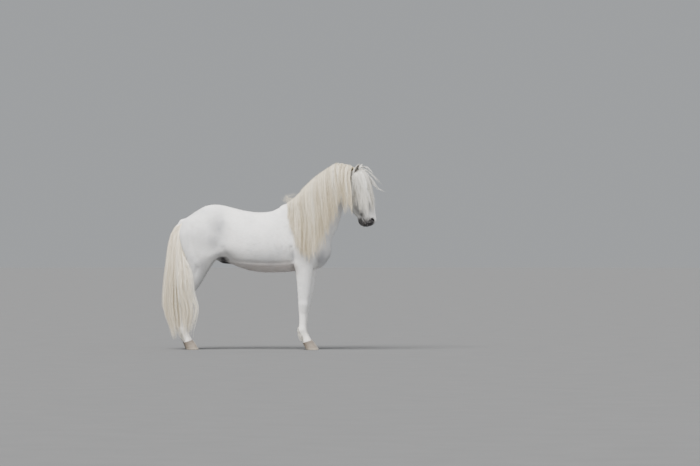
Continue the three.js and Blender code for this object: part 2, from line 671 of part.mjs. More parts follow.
// Forelock: root to the side of the middle, way leaving, length, lift off the face, width
const FORELOCK = [
  { side: -34, toSide: -1.3, rise: 0.1, length: 380, layer: 0, width: 58 },
  { side: -30, toSide: -1.2, rise: 0.35, length: 440, layer: 1, width: 58 },
  { side: -26, toSide: -1.0, rise: 0.6, length: 470, layer: 0, width: 56 },
  { side: -20, toSide: -0.7, rise: 0.9, length: 470, layer: 1, width: 54 },
  { side: -12, toSide: -0.4, rise: 1, length: 460, layer: 0, width: 54 },
  { side: -4, toSide: -0.15, rise: 1, length: 430, layer: 1, width: 52 },
  { side: 5, toSide: 0.1, rise: 1, length: 380, layer: 0, width: 52 },
  { side: 14, toSide: 0.4, rise: 1, length: 320, layer: 1, width: 50 },
  { side: 24, toSide: 0.8, rise: 0.8, length: 270, layer: 0, width: 50 },
];
// Strands that the wind lifts off the face: where they go, relative to the forelock's root
const BLOWN_STRANDS = [
  [[30, 0, 30], [75, -8, 34], [120, -14, 6], [165, -20, -46]],
  [[40, -6, 10], [95, -14, -10], [150, -20, -60], [222, -30, -140]],
  [[60, -10, -20], [125, -16, -100], [190, -24, -172], [262, -34, -214]],
];
function forelockLocks() {
  const random = makeRandom(11);
  const locks = [];
  for (const { side, toSide, rise, length, layer, width } of FORELOCK) {
    const inside = fromHead(34, side * 0.4, 0);
    const outDirection = headDirection(-0.55, side * 0.006, 0.83);
    const start = skinAlong(inside, outDirection, 0, () => -1).addScaledVector(outDirection, -16);
    const leaving = headDirection(0.3, toSide, rise);
    const apart = THREE.MathUtils.clamp(toSide, -0.6, 0.6) * 0.22;
    const pull = new THREE.Vector3(random(0.15, 0.2), apart, -1).normalize();
    const fall = { lift: 16, pull, bend: 0.22, hold: 12 };
    const path = drape(start, leaving, length * random(0.95, 1.04), fall);
    locks.push(lock(raisedPath(path, layer * SHINGLE), { width, thick: 11, points: 6, rootShare: 0.25 }));
  }
  for (const way of BLOWN_STRANDS) {
    const start = skinAlong(fromHead(34, 0, 0), headDirection(-0.4, 0, 0.9), 0, () => -1);
    const sunk = start.clone().addScaledVector(headDirection(-0.4, 0, 0.9), -14);
    const path = [sunk, ...way.map((step) => start.clone().add(new THREE.Vector3(...step)))];
    locks.push(lock(path, { width: 14, thick: 9, points: 6 }));
  }
  return locks;
}

// Tail, by height: X of its middle, reach to the rear, reach towards the viewer and away from the viewer
const tailAt = profile([
  [130, -815, 140, 180, 25],
  [265, -805, 185, 190, 36],
  [346, -797, 238, 198, 44],
  [459, -795, 252, 201, 50],
  [588, -795, 243, 199, 56],
  [750, -800, 221, 188, 62],
  [847, -815, 194, 165, 66],
  [944, -830, 168, 130, 66],
  [1074, -848, 129, 80, 60],
  [1170, -852, 98, 52, 48],
  [1243, -850, 50, 30, 30],
  [1268, -848, 26, 20, 20],
]);
const DOCK = [
  new THREE.Vector3(-800, 0, 1262),
  new THREE.Vector3(-862, 0, 1244),
  new THREE.Vector3(-902, 0, 1186),
  new THREE.Vector3(-922, -6, 1110),
  new THREE.Vector3(-930, -16, 1010),
];
const DOCK_RADII = [27, 27, 25, 20, 10];
// A point of the tail's section: height, angle from the rear towards the viewer, share of the full reach
function tailPoint(z, angle, share) {
  const [middle, rear, near, far] = tailAt(z);
  const across = angle > 0 ? near : far;
  const turn = THREE.MathUtils.degToRad(angle);
  return new THREE.Vector3(middle - rear * share * Math.cos(turn), -across * share * Math.sin(turn), z);
}
const TAIL_LAYERS = [
  { count: 14, angles: [-82, 92], shares: [0.98, 0.9], top: 1240, tip: 92, width: 98, thick: 12, twist: 20 },
  { count: 4, angles: [-50, 60], shares: [0.7, 0.62], top: 1170, tip: 130, width: 104, thick: 15, twist: 35 },
];
// The core of the tail: it ends less than half way to the tips.
const TAIL_CORE = { top: 1236, bottom: 690, share: 0.7, endShare: 0.3, rings: 6, rays: 10 };
function tailCore() {
  const { top, bottom, share, endShare, rings, rays } = TAIL_CORE;
  const sections = Array.from({ length: rings }, (_, i) => Array.from({ length: rays }, (_, j) => {
    const t = i / (rings - 1);
    const turn = (360 * j) / rays - 180;
    const reach = THREE.MathUtils.lerp(share, endShare, t ** 2);
    const p = tailPoint(THREE.MathUtils.lerp(top, bottom, t), turn, reach);
    return Math.abs(turn) > 90 ? p.setX(Math.min(p.x, tailAt(p.z)[0] + 20)) : p;
  }));
  return loftRings(sections);
}
function dockSolid() {
  const across = new THREE.Vector3(0, 1, 0);
  const rings = resample(DOCK, 9).map((p, i, way) => {
    const along = way[Math.min(8, i + 1)].clone().sub(way[Math.max(0, i - 1)]).normalize();
    const up = new THREE.Vector3().crossVectors(along, across).normalize();
    const where = (i / 8) * (DOCK_RADII.length - 1);
    const k = Math.min(DOCK_RADII.length - 2, Math.floor(where));
    const radius = THREE.MathUtils.lerp(DOCK_RADII[k], DOCK_RADII[k + 1], where - k);
    return ringRound(p, across, up, radius, 10);
  });
  return loftRings(rings);
}
function tailLocks() {
  const random = makeRandom(23);
  const dock = new THREE.CatmullRomCurve3(DOCK);
  const locks = [];
  for (const { count, angles, shares, top, tip, width, thick, twist } of TAIL_LAYERS) {
    for (let i = 0; i < count; i++) {
      const angle = THREE.MathUtils.lerp(...angles, i / (count - 1)) + random(-2, 2);
      const start = top + random(-10, 8);
      const end = tip + random(-10, 80) + (angle < -30 ? 90 : 0);
      const share = shares[i % 2] * random(0.99, 1.01);
      const path = [dock.getPointAt(0.16 + 0.7 * THREE.MathUtils.clamp((1246 - start) / 260, 0, 1))];
      for (let k = 0; k <= 16; k++) {
        const p = tailPoint(THREE.MathUtils.lerp(start - 8, end, (k / 16) ** 1.3), angle, share);
        const clearance = thick / 2 + 9 + (share - 0.98) * 40 - flesh(p);
        if (clearance > 0) p.addScaledVector(outward(p), clearance);
        path.push(p);
      }
      const turned = THREE.MathUtils.degToRad(i % 2 ? twist : -twist);
      const facing = ({ z }) => {
        const radial = tailPoint(z, angle, 1).sub(new THREE.Vector3(tailAt(z)[0], 0, z));
        return radial.applyAxisAngle(UP, turned).normalize();
      };
      const size = width * random(0.88, 1.08);
      locks.push(lock(path, { width: size, thick, points: 7, rootShare: 0.3, fullBy: 0.35, facing }));
    }
  }
  return locks;
}

// Feathering behind a fetlock, and the room that other hair leaves for it
const FEATHER_TOP = { z: 236, slope: 0 };
const FEATHER_REACH = 27;
function featherLocks(leg, sign) {
  const locks = [];
  for (let i = 0; i < 5; i++) {
    const turn = THREE.MathUtils.degToRad(180 + (i - 2) * 32);
    const z = 206 - Math.abs(i - 2) * 8;
    const [front, rear, away] = leg.at(z);
    const shift = sign > 0 ? farShift(z, leg) : 0;
    const middle = new THREE.Vector3((front + rear) / 2 + shift, sign * away, z);
    const out = new THREE.Vector3(Math.cos(turn), Math.sin(turn), 0);
    const root = skinAlong(middle, out, 0, () => -1);
    const path = [
      root.clone().addScaledVector(out, -9),
      root.clone().addScaledVector(out, 5).add(new THREE.Vector3(0, 0, -18)),
      root.clone().addScaledVector(out, 11).add(new THREE.Vector3(2, 0, -56)),
      root.clone().addScaledVector(out, 5).add(new THREE.Vector3(14, 0, -100)),
    ];
    locks.push(lock(path, { width: 34, thick: 8, points: 4, rootShare: 0.6 }));
  }
  return locks;
}

// Hooves: a flat sole, a wall that slopes forward and a coronet that slopes down to the heels
const HOOF = { toe: 66, heel: 58, half: 56, power: 2.3 };
const CORONET_SLOPE = 0.32;
const CORONET_LEVEL = 82;
function hoofSolid(leg, sign, soleShift) {
  const [front, rear, away, half] = leg.at(CORONET_LEVEL);
  const shift = sign > 0 ? farShift(CORONET_LEVEL, leg) : 0;
  const topMiddle = (front + rear) / 2 + shift;
  const sole = topMiddle + soleShift;
  const rays = 18;
  const rings = [0, 0.1, 0.55, 1].map((t) => Array.from({ length: rays }, (_, j) => {
    const turn = (2 * Math.PI * j) / rays;
    const cos = Math.cos(turn);
    const sin = Math.sin(turn);
    const round = (Math.abs(cos) ** HOOF.power + Math.abs(sin) ** HOOF.power) ** (-1 / HOOF.power);
    const flare = t === 0 ? 0.97 : 1;
    const reach = THREE.MathUtils.lerp(cos > 0 ? HOOF.toe : HOOF.heel, (front - rear) / 2 + 2.5, t) * flare;
    const narrowing = cos < 0 ? 1 - 0.16 * cos * cos * (1 - t) : 1;
    const wide = THREE.MathUtils.lerp(HOOF.half, half + 2.5, t) * flare * narrowing;
    const x = THREE.MathUtils.lerp(sole, topMiddle, t) + reach * round * cos;
    const level = CORONET_LEVEL - HALF_GAP + CORONET_SLOPE * (x - topMiddle);
    return new THREE.Vector3(x, sign * away + wide * round * sin, level * t);
  }));
  return loftRings(rings);
}

// Ears: an open cup with a tapering tip; outer wall round the back, inner wall returning inside it
const earRadius = profile([[0, 21], [0.2, 25], [0.42, 28], [0.65, 23], [0.85, 12], [1, 3]]);
const earOpening = profile([[0, 158], [0.18, 140], [0.4, 108], [0.7, 92], [1, 80]]);
function earSolid(sign) {
  const base = fromHead(50, sign * 56, 8);
  const axis = new THREE.Vector3(0.42, sign * 0.2, 0.88).normalize();
  const facing = new THREE.Vector3(0.62, sign * 0.78, 0);
  const opening = facing.addScaledVector(axis, -facing.dot(axis)).normalize();
  const across = new THREE.Vector3().crossVectors(axis, opening);
  const wall = 7;
  const steps = 5;
  const rings = [];
  for (let i = 0; i <= 8; i++) {
    const s = i / 8;
    const [radius] = earRadius(s);
    const open = THREE.MathUtils.degToRad(earOpening(s)[0]);
    const middle = base.clone().addScaledVector(axis, EAR_LENGTH * (s - 0.12))
      .add(new THREE.Vector3(0, -sign * 12 * s * s, 0));
    const at = (turn, reach) => middle.clone()
      .addScaledVector(opening, -Math.cos(turn) * reach * 0.82)
      .addScaledVector(across, Math.sin(turn) * reach);
    const inner = Math.max(radius - wall, radius * 0.35) * (s < 0.1 ? 0.3 : 1);
    const outerWall = [];
    const innerWall = [];
    for (let j = 0; j <= steps; j++) {
      const turn = THREE.MathUtils.lerp(-open, open, j / steps);
      outerWall.push(at(turn, radius));
      innerWall.unshift(at(turn, inner));
    }
    rings.push([...outerWall, ...innerWall]);
  }
  return loftRings(rings);
}

// A slightly larger ear, cut from the hair about it
function earGuard(sign) {
  const base = fromHead(50, sign * 56, 8);
  const axis = new THREE.Vector3(0.42, sign * 0.2, 0.88).normalize();
  const geometry = new THREE.SphereGeometry(1, 10, 7);
  geometry.scale(33, 33, EAR_LENGTH * 0.56);
  geometry.applyQuaternion(new THREE.Quaternion().setFromUnitVectors(UP, axis));
  const middle = base.addScaledVector(axis, EAR_LENGTH * 0.4).add(new THREE.Vector3(0, -sign * 3, 0));
  geometry.translate(middle.x, middle.y, middle.z);
  return solidOfGeometry(geometry);
}

// Eyes and lids
const EYE_AT = { along: 170, out: 46, proud: 8 };
function eyeFrame(sign) {
  const outDirection = headDirection(-0.06, sign, 0.16);
  const skin = skinAlong(fromHead(EYE_AT.along, 0, EYE_AT.out), headDirection(0, sign, 0), 0, () => -1);
  return {
    middle: skin.addScaledVector(outDirection, EYE_AT.proud - EYE_RADIUS),
    out: outDirection,
    along: headDirection(1, 0, -0.25),
  };
}
function eyeBall(sign, radius) {
  const geometry = new THREE.SphereGeometry(radius, 14, 9);
  const { middle } = eyeFrame(sign);
  geometry.translate(middle.x, middle.y, middle.z);
  return solidOfGeometry(geometry);
}
const LIDS = [
  { lean: 34, radius: 5.5 },
  { lean: -30, radius: 4.5 },
];
function lidSolids(sign) {
  const { middle, out, along } = eyeFrame(sign);
  const up = new THREE.Vector3().crossVectors(along, out).multiplyScalar(-sign).normalize();
  return LIDS.map(({ lean, radius }) => {
    const tilt = THREE.MathUtils.degToRad(lean);
    const crown = out.clone().multiplyScalar(Math.cos(tilt)).addScaledVector(up, Math.sin(tilt));
    const points = Array.from({ length: 7 }, (_, i) => {
      const turn = THREE.MathUtils.degToRad(-84 + (168 * i) / 6);
      const reach = EYE_RADIUS + 0.5;
      return middle.clone().addScaledVector(crown, Math.cos(turn) * reach)
        .addScaledVector(along, Math.sin(turn) * reach * 1.12);
    });
    const rings = points.map((p, i) => {
      const way = points[Math.min(6, i + 1)].clone().sub(points[Math.max(0, i - 1)]).normalize();
      const radial = p.clone().sub(middle).normalize();
      const side = new THREE.Vector3().crossVectors(way, radial).normalize();
      return ringRound(p, radial, side, radius, 5);
    });
    return loftRings(rings);
  });
}

// Nostrils open into the muzzle, and the mouth is a groove between the lips.
const NOSTRIL = { at: [510, 56, 42], radii: [23, 19, 11], turn: -0.35 };
const MOUTH = { corner: [458, -33], front: [572, 2], high: 4, deep: 9 };
function nostrilSolid(sign) {
  const geometry = new THREE.SphereGeometry(1, 12, 8);
  geometry.scale(...NOSTRIL.radii);
  geometry.rotateY(NOSTRIL.turn);
  const along = headDirection(1, 0, 0);
  const side = headDirection(0, sign, 0);
  const out = headDirection(0, 0, 1);
  const place = fromHead(NOSTRIL.at[0], sign * NOSTRIL.at[1], NOSTRIL.at[2]);
  geometry.applyMatrix4(new THREE.Matrix4().makeBasis(along, side, out).setPosition(place));
  if (sign > 0) geometry.index.array.reverse();
  return solidOfGeometry(geometry);
}
function mouthGroove() {
  const [cornerAlong, cornerOut] = MOUTH.corner;
  const [frontAlong, frontOut] = MOUTH.front;
  const length = Math.hypot(frontAlong - cornerAlong, frontOut - cornerOut);
  const geometry = new THREE.BoxGeometry(length, 160, MOUTH.high);
  const along = headDirection(frontAlong - cornerAlong, 0, frontOut - cornerOut);
  const out = headDirection(cornerOut - frontOut, 0, frontAlong - cornerAlong);
  const side = new THREE.Vector3().crossVectors(out, along);
  const place = fromHead((cornerAlong + frontAlong) / 2, 0, (cornerOut + frontOut) / 2);
  geometry.applyMatrix4(new THREE.Matrix4().makeBasis(along, side, out).setPosition(place));
  return solidOfGeometry(geometry).subtract(headSkin(-MOUTH.deep));
}

const root = new THREE.Group();
const coat = new THREE.MeshStandardMaterial({ color: 0xe9e7e3, roughness: 0.85, metalness: 0 });
const hairMaterial = new THREE.MeshStandardMaterial({ color: 0xe6dfcf, roughness: 0.7, metalness: 0 });
const earSkin = new THREE.MeshStandardMaterial({ color: 0x6a6467, roughness: 0.7, metalness: 0 });
const horn = new THREE.MeshStandardMaterial({ color: 0x6b625a, roughness: 0.55, metalness: 0 });
const eyeGloss = new THREE.MeshStandardMaterial({ color: 0x1a1412, roughness: 0.1, metalness: 0 });

// A named mesh from the largest closed surface of a solid
function addNode(name, solid, material) {
  const bodies = solid.simplify(SHORTEST_EDGE).decompose();
  bodies.sort((a, b) => b.volume() - a.volume());
  const mesh = bodies[0].getMesh();
  const geometry = new THREE.BufferGeometry();
  geometry.setAttribute("position", new THREE.BufferAttribute(new Float32Array(mesh.vertProperties), 3));
  geometry.setIndex(new THREE.BufferAttribute(new Uint32Array(mesh.triVerts), 1));
  geometry.translate(ORIGIN_SHIFT.x, ORIGIN_SHIFT.y, ORIGIN_SHIFT.z);
  const node = new THREE.Mesh(geometry, material);
  node.name = name;
  root.add(node);
}

const CLEAR = 1.5;
const torsoClear = torsoSolid(CLEAR, -HALF_GAP / 2);
const headClear = headSolid(CLEAR, -HALF_GAP / 2);
const eyes = [-1, 1].map((sign) => eyeBall(sign, EYE_RADIUS));
const ears = [-1, 1].map((sign) => earSolid(sign).subtract(headClear));

const guards = wasm.Manifold.union([-1, 1].map(earGuard));

let head = wasm.Manifold.union([headSolid(0, -HALF_GAP), ...lidSolids(-1), ...lidSolids(1)]);
head = head.subtract(nostrilSolid(-1)).subtract(nostrilSolid(1)).subtract(mouthGroove());
head = wasm.Manifold.union([head, ...forelockLocks().map((hair) => hair.subtract(guards))]);
for (const sign of [-1, 1]) head = head.subtract(eyeBall(sign, EYE_RADIUS + GAP));
head = head.subtract(blockBeyond(flipped(HEAD_PLANE), -HALF_GAP, HEAD_PLANE.at, 1600));

const mane = wasm.Manifold.union(maneLocks()).subtract(guards);
const neck = neckSolid(0, -HALF_GAP).add(mane).subtract(torsoClear).subtract(headClear);

addNode("torso", torsoSolid(0, -HALF_GAP), coat);
addNode("neck", neck, hairMaterial);
addNode("head", head, coat);
["right", "left"].forEach((side, i) => {
  addNode(`ear_${side}`, ears[i], earSkin);
  addNode(`eye_${side}`, eyes[i], eyeGloss);
});

const frontTop = planeLevel(FRONT_LEG, FRONT_LEG_PLANE);
const hindTop = planeLevel(HIND_LEG, HIND_LEG_PLANE);
const knee = { z: KNEE_HEIGHT - 45, slope: 0 };
const hock = { z: HOCK_HEIGHT - 65, slope: 0 };
const coronet = { z: CORONET_LEVEL, slope: CORONET_SLOPE };
const raised = ({ z, slope }, by) => ({ z: z + by, slope });
const legs = [
  { name: "front_leg", leg: FRONT_LEG, joint: knee, top: frontTop, rays: 16, soleShift: 46 },
  { name: "hind_leg", leg: HIND_LEG, joint: hock, top: hindTop, rays: 20, soleShift: 40 },
];
let tail = wasm.Manifold.union([dockSolid(), tailCore(), ...tailLocks()]).subtract(torsoClear);
for (const [side, sign] of [["right", -1], ["left", 1]]) {
  for (const { name, leg, joint, top, rays, soleShift } of legs) {
    const hoof = hoofSolid(leg, sign, soleShift);
    const lower = legLength(leg, sign, raised(coronet, HALF_GAP), raised(joint, -HALF_GAP), 13, 14, 0);
    const upper = legLength(leg, sign, raised(joint, HALF_GAP), top, 11, rays, 0);
    const feathered = wasm.Manifold.union([lower, ...featherLocks(leg, sign)]);
    addNode(`${name}_upper_${side}`, upper, coat);
    addNode(`${name}_lower_${side}`, feathered.subtract(hoof), coat);
    addNode(`${name}_hoof_${side}`, hoof, horn);
    if (leg === HIND_LEG) {
      const above = raised(coronet, HALF_GAP);
      tail = tail.subtract(legLength(leg, sign, above, raised(joint, 0), 13, 14, CLEAR));
      tail = tail.subtract(legLength(leg, sign, raised(joint, 0), raised(top, GAP), 11, rays, CLEAR));
      tail = tail.subtract(legLength(leg, sign, raised(coronet, -8), FEATHER_TOP, 6, 12, FEATHER_REACH));
    }
  }
}
addNode("tail", tail, hairMaterial);

export default root;
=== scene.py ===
"""A life-size white Icelandic horse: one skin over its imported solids, with coat, mane, forelock and tail."""

import logging
import math
from collections.abc import Callable
from dataclasses import dataclass, field
from enum import Enum

import bmesh
import bpy
import numpy as np
from bpy.types import Material, Mesh, Node, NodeSocket, NodeTree, Object
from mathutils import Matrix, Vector
from numpy import ndarray as Array


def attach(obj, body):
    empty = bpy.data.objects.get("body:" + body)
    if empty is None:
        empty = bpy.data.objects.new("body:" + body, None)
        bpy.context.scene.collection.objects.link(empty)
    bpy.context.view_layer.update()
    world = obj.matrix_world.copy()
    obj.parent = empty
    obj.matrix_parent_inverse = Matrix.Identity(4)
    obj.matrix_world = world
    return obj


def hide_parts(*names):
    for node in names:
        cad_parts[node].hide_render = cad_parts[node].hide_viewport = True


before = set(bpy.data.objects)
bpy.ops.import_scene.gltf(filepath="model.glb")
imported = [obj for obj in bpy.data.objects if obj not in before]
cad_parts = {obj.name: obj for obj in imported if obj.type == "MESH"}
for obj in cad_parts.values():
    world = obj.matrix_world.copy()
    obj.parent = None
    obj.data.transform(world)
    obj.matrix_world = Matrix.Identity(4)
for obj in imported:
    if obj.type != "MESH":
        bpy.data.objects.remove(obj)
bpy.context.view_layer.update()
LOG = logging.getLogger("horse")
Pair = tuple[float, float]

# Millimetres, as in the part's source; every mesh is made in metres about the origin on the floor.
MM = 0.001
NOUGHT = 1e-6
FAR_OFF = 1e6
ORIGIN_SHIFT = np.array([-42.5, 11.6, 0.0])

# Torso, by X: top, bottom, half width, level of the widest point, powers of the curve above and below it.
# Neck and head, by the way along their axes, the same. Legs, by height: front edge, rear edge, distance of
# the middle from the centre plane, half width, power.
TORSO_ROWS = (
    (-872, 1285, 985, 150, 1140, 2.0, 2.0),
    (-800, 1300, 940, 200, 1130, 2.1, 2.0),
    (-718, 1352, 905, 218, 1120, 2.2, 2.0),
    (-622, 1402, 885, 228, 1110, 2.2, 2.0),
    (-532, 1415, 872, 228, 1095, 2.1, 2.0),
    (-443, 1404, 858, 228, 1075, 2.0, 2.0),
    (-362, 1384, 826, 236, 1050, 2.0, 2.05),
    (-265, 1360, 790, 248, 1030, 2.0, 2.1),
    (-152, 1343, 762, 258, 1015, 2.0, 2.1),
    (-55, 1341, 751, 256, 1010, 1.95, 2.1),
    (26, 1352, 750, 245, 1010, 1.85, 2.1),
    (78, 1376, 751, 235, 1010, 1.75, 2.1),
    (137, 1396, 754, 220, 1010, 1.65, 2.05),
    (236, 1370, 761, 202, 1010, 1.7, 2.0),
    (330, 1310, 772, 194, 1005, 1.8, 2.0),
    (430, 1225, 780, 186, 995, 1.9, 2.0),
    (510, 1140, 797, 172, 980, 2.0, 2.1),
    (590, 1070, 840, 150, 965, 2.0, 2.2),
)

NECK_ROWS = (
    (0, 250, -260, 168, -30, 1.8, 2.2),
    (80, 290, -300, 163, -30, 1.7, 2.2),
    (151, 302, -292, 150, -30, 1.6, 2.1),
    (250, 279, -254, 126, -25, 1.6, 2.1),
    (350, 259, -224, 106, -10, 1.6, 2.1),
    (465, 248, -176, 92, 5, 1.6, 2.0),
    (575, 224, -118, 82, 25, 1.6, 2.0),
    (675, 188, -78, 76, 40, 1.7, 2.0),
    (785, 134, -50, 70, 40, 1.8, 2.0),
    (850, 72, -40, 58, 20, 2.0, 2.0),
)

HEAD_ROWS = (
    (0, 62, -80, 60, 8, 2.0, 2.0),
    (50, 88, -104, 76, 22, 2.0, 2.0),
    (110, 106, -132, 89, 35, 2.3, 1.9),
    (175, 114, -152, 95, 42, 2.6, 1.8),
    (235, 113, -160, 88, 35, 2.6, 1.8),
    (300, 107, -157, 77, 20, 2.4, 1.9),
    (360, 105, -140, 63, 12, 2.2, 1.9),
    (420, 100, -113, 53, 8, 2.2, 2.0),
    (475, 94, -88, 50, 2, 2.2, 2.1),
    (525, 88, -78, 52, 0, 2.2, 2.2),
    (568, 78, -68, 50, 0, 2.2, 2.2),
)

FRONT_LEG_ROWS = (
    (60, 428, 338, 118, 45, 2.0),
    (90, 420, 334, 118, 44, 2.0),
    (112, 407, 328, 118, 36, 2.0),
    (138, 392, 311, 118, 32, 2.0),
    (166, 379, 296, 118, 34, 2.0),
    (196, 372, 290, 118, 37, 2.0),
    (228, 369, 297, 118, 31, 2.0),
    (270, 369, 301, 118, 28, 2.1),
    (345, 371, 299, 118, 28, 2.1),
    (392, 382, 294, 118, 35, 2.2),
    (440, 393, 291, 118, 43, 2.3),
    (485, 396, 289, 118, 42, 2.2),
    (540, 405, 286, 119, 45, 2.1),
    (620, 416, 280, 121, 52, 2.0),
    (702, 425, 273, 125, 60, 2.0),
    (765, 434, 265, 128, 66, 2.0),
    (830, 442, 240, 130, 70, 2.0),
    (900, 470, 232, 126, 74, 2.0),
    (1000, 500, 250, 118, 76, 2.0),
)

HIND_LEG_ROWS = (
    (60, -738, -828, 118, 45, 2.0),
    (90, -746, -830, 118, 43, 2.0),
    (112, -756, -836, 118, 36, 2.0),
    (138, -770, -851, 118, 32, 2.0),
    (166, -785, -868, 118, 35, 2.0),
    (198, -793, -877, 118, 38, 2.0),
    (230, -799, -870, 118, 31, 2.0),
    (300, -799, -868, 117, 28, 2.1),
    (380, -796, -870, 117, 29, 2.1),
    (440, -786, -876, 117, 34, 2.2),
    (490, -768, -888, 117, 42, 2.3),
    (535, -748, -897, 117, 43, 2.3),
    (570, -728, -893, 118, 40, 2.1),
    (620, -692, -862, 120, 42, 1.9),
    (690, -648, -826, 122, 52, 1.9),
    (766, -606, -800, 123, 66, 2.0),
    (847, -556, -800, 122, 90, 2.1),
    (920, -500, -820, 120, 106, 2.2),
    (1020, -455, -856, 112, 118, 2.2),
    (1137, -450, -876, 98, 124, 2.2),
    (1230, -500, -850, 84, 110, 2.1),
)

BODY_RELIEF = (
    ("shoulder blade", (345, 165, 1185), (62, 80, 200), -36, 13),
    ("neck base hollow", (455, 120, 1215), (45, 70, 170), -36, -12),
    ("point of shoulder", (540, 150, 1020), (62, 60, 60), 0, 13),
    ("triceps", (300, 185, 965), (105, 70, 95), 25, 16),
    ("girth hollow", (185, 195, 900), (42, 80, 120), -10, -9),
    ("breast muscle", (565, 75, 930), (55, 52, 75), 0, 16),
    ("breast groove", (590, 0, 930), (60, 20, 130), 0, -16),
    ("croup muscle", (-570, 125, 1330), (150, 90, 70), -14, 10),
    ("point of hip", (-425, 200, 1265), (48, 50, 50), 0, 12),
    ("flank hollow", (-385, 225, 1110), (62, 70, 105), 8, -15),
    ("haunch", (-700, 205, 1090), (120, 80, 160), 18, 12),
    ("stifle", (-525, 205, 915), (60, 60, 62), 0, 12),
    ("flank fold", (-462, 180, 945), (50, 50, 60), 30, 20),
    ("groin", (-405, 150, 880), (75, 75, 70), 20, -26),
    ("rear thigh groove", (-790, 190, 1030), (22, 50, 150), -4, -7),
    ("elbow", (242, 190, 840), (36, 45, 42), 0, 11),
    ("tail cleft", (-885, 0, 1130), (60, 26, 120), 0, -22),
    ("jugular groove", (560, 85, 1200), (30, 36, 190), 36, -7),
    ("crest swell", (420, 55, 1540), (210, 60, 60), -38, 8),
)

HEAD_RELIEF = (
    ("brow", (158, 88, 62), (36, 30, 28), 0, 12),
    ("temple hollow", (112, 78, 66), (24, 24, 22), 0, -9),
    ("under the eye", (215, 88, 48), (28, 26, 22), 0, -5),
    ("cheek muscle", (250, 74, -78), (84, 40, 68), 0, 13),
    ("face ridge", (288, 74, 6), (72, 26, 13), 0, 6),
    ("side of the nose", (375, 60, 50), (62, 30, 24), 0, -8),
    ("behind the lips", (425, 52, -32), (46, 26, 26), 0, -7),
    ("nostril flare", (506, 48, 46), (30, 24, 26), 0, 13),
    ("upper lip", (544, 26, 26), (26, 34, 34), 0, 8),
    ("lower lip", (538, 22, -40), (24, 30, 20), 0, 6),
    ("chin", (505, 0, -84), (28, 30, 22), 0, 11),
    ("chin groove", (452, 0, -100), (26, 34, 20), 0, -8),
    ("between the jaws", (330, 0, -155), (110, 22, 40), 0, -20),
)

NECK_ORIGIN = np.array([267.0, 0.0, 1083.0])
NECK_ALONG = np.array([0.657, 0.0, 0.754]) / math.hypot(0.657, 0.754)
NECK_OUT = np.array([-NECK_ALONG[2], 0.0, NECK_ALONG[0]])
HEAD_ORIGIN = np.array([820.0, 0.0, 1748.0])
HEAD_ALONG = np.array([0.278, 0.0, -0.9605]) / math.hypot(0.278, 0.9605)
HEAD_OUT = np.array([-HEAD_ALONG[2], 0.0, HEAD_ALONG[0]])
HEAD_TURN = math.radians(-9)
POLL = np.array([775.0, 0.0, 1720.0])
UP = np.array([0.0, 0.0, 1.0])
EYE_RADIUS = 20.0
EYE_ALONG, EYE_OUT, EYE_PROUD = 170.0, 46.0, 8.0


class Side(Enum):
    """A side of the horse, by the sign of Y. The viewer of the photograph stands on its right."""

    RIGHT = -1
    LEFT = 1

    @property
    def word(self) -> str:
        """The side's name as the nodes spell it."""
        return self.name.lower()


def unit(vectors: Array) -> Array:
    """Vectors brought to length one."""
    return vectors / np.maximum(np.linalg.norm(vectors, axis=-1, keepdims=True), 1e-9)


def step(low: float, high: float, value: Array) -> Array:
    """A smooth step from 0 at low to 1 at high."""
    t = np.clip((value - low) / (high - low), 0, 1)
    return t * t * (3 - 2 * t)


def bump(value: Array, middle: float, width: float) -> Array:
    """A bell of height one about a middle."""
    return np.exp(-(((value - middle) / width) ** 2))


def to_metres(points: Array) -> Array:
    """The source's millimetres as metres about the origin on the floor."""
    return (points + ORIGIN_SHIFT) * MM


def to_segment(points: Array, start: Array, end: Array) -> tuple[Array, Array]:
    """How far points are from a straight line, and the share of the way along it where they are nearest."""
    way = end - start
    t = np.clip((points - start) @ way / (way @ way), 0, 1)
    return np.linalg.norm(points - start - t[:, None] * way, axis=1), t


def in_section(rise: Array, side: Array, reach: Array, half: Array, power: Array) -> tuple[Array, Array]:
    """Where points lie in one quarter of a rounded section.

    Args:
        rise: distance from its middle one way.
        side: distance from its middle to the side.
        reach: how far the section reaches that way.
        half: how far it reaches to the side.
        power: the power of its curve.

    Returns:
        The share of the way to its edge, and how far off the edge is.
    """
    share = ((np.abs(rise) / reach) ** power + (np.abs(side) / half) ** power) ** (1 / power)
    edge = np.hypot(rise, side) / np.maximum(share, NOUGHT)
    return share, np.where(share > NOUGHT, edge, np.minimum(reach, half))


class Curve:
    """A smooth curve through each column of a table of rows that starts with where they are."""

    def __init__(self, rows: tuple, samples: int = 400) -> None:
        """Samples the table by cubic pieces whose slopes follow the neighbouring rows.

        Args:
            rows: rows of numbers, the first of which is the place along the curve.
            samples: how finely the curve is stored.
        """
        table = np.array(rows, dtype=float)
        at, values = table[:, 0], table[:, 1:]
        self.at = np.linspace(at[0], at[-1], samples + 1)
        i = np.clip(np.searchsorted(at, self.at, side="left") - 1, 0, len(at) - 2)
        before, after = np.maximum(i - 1, 0), np.minimum(i + 2, len(at) - 1)
        span = (at[i + 1] - at[i])[:, None]
        u = ((self.at - at[i])[:, None]) / span
        slope_a = (values[i + 1] - values[before]) / (at[i + 1] - at[before])[:, None] * span
        slope_b = (values[after] - values[i]) / (at[after] - at[i])[:, None] * span
        self.values = (
            values[i] * (2 * u**3 - 3 * u**2 + 1)
            + slope_a * (u**3 - 2 * u**2 + u)
            + values[i + 1] * (3 * u**2 - 2 * u**3)
            + slope_b * (u**3 - u**2)
        )

    def __call__(self, where: Array) -> list[Array]:
        """The curve's columns at each place."""
        return [np.interp(where, self.at, self.values[:, c]) for c in range(self.values.shape[1])]


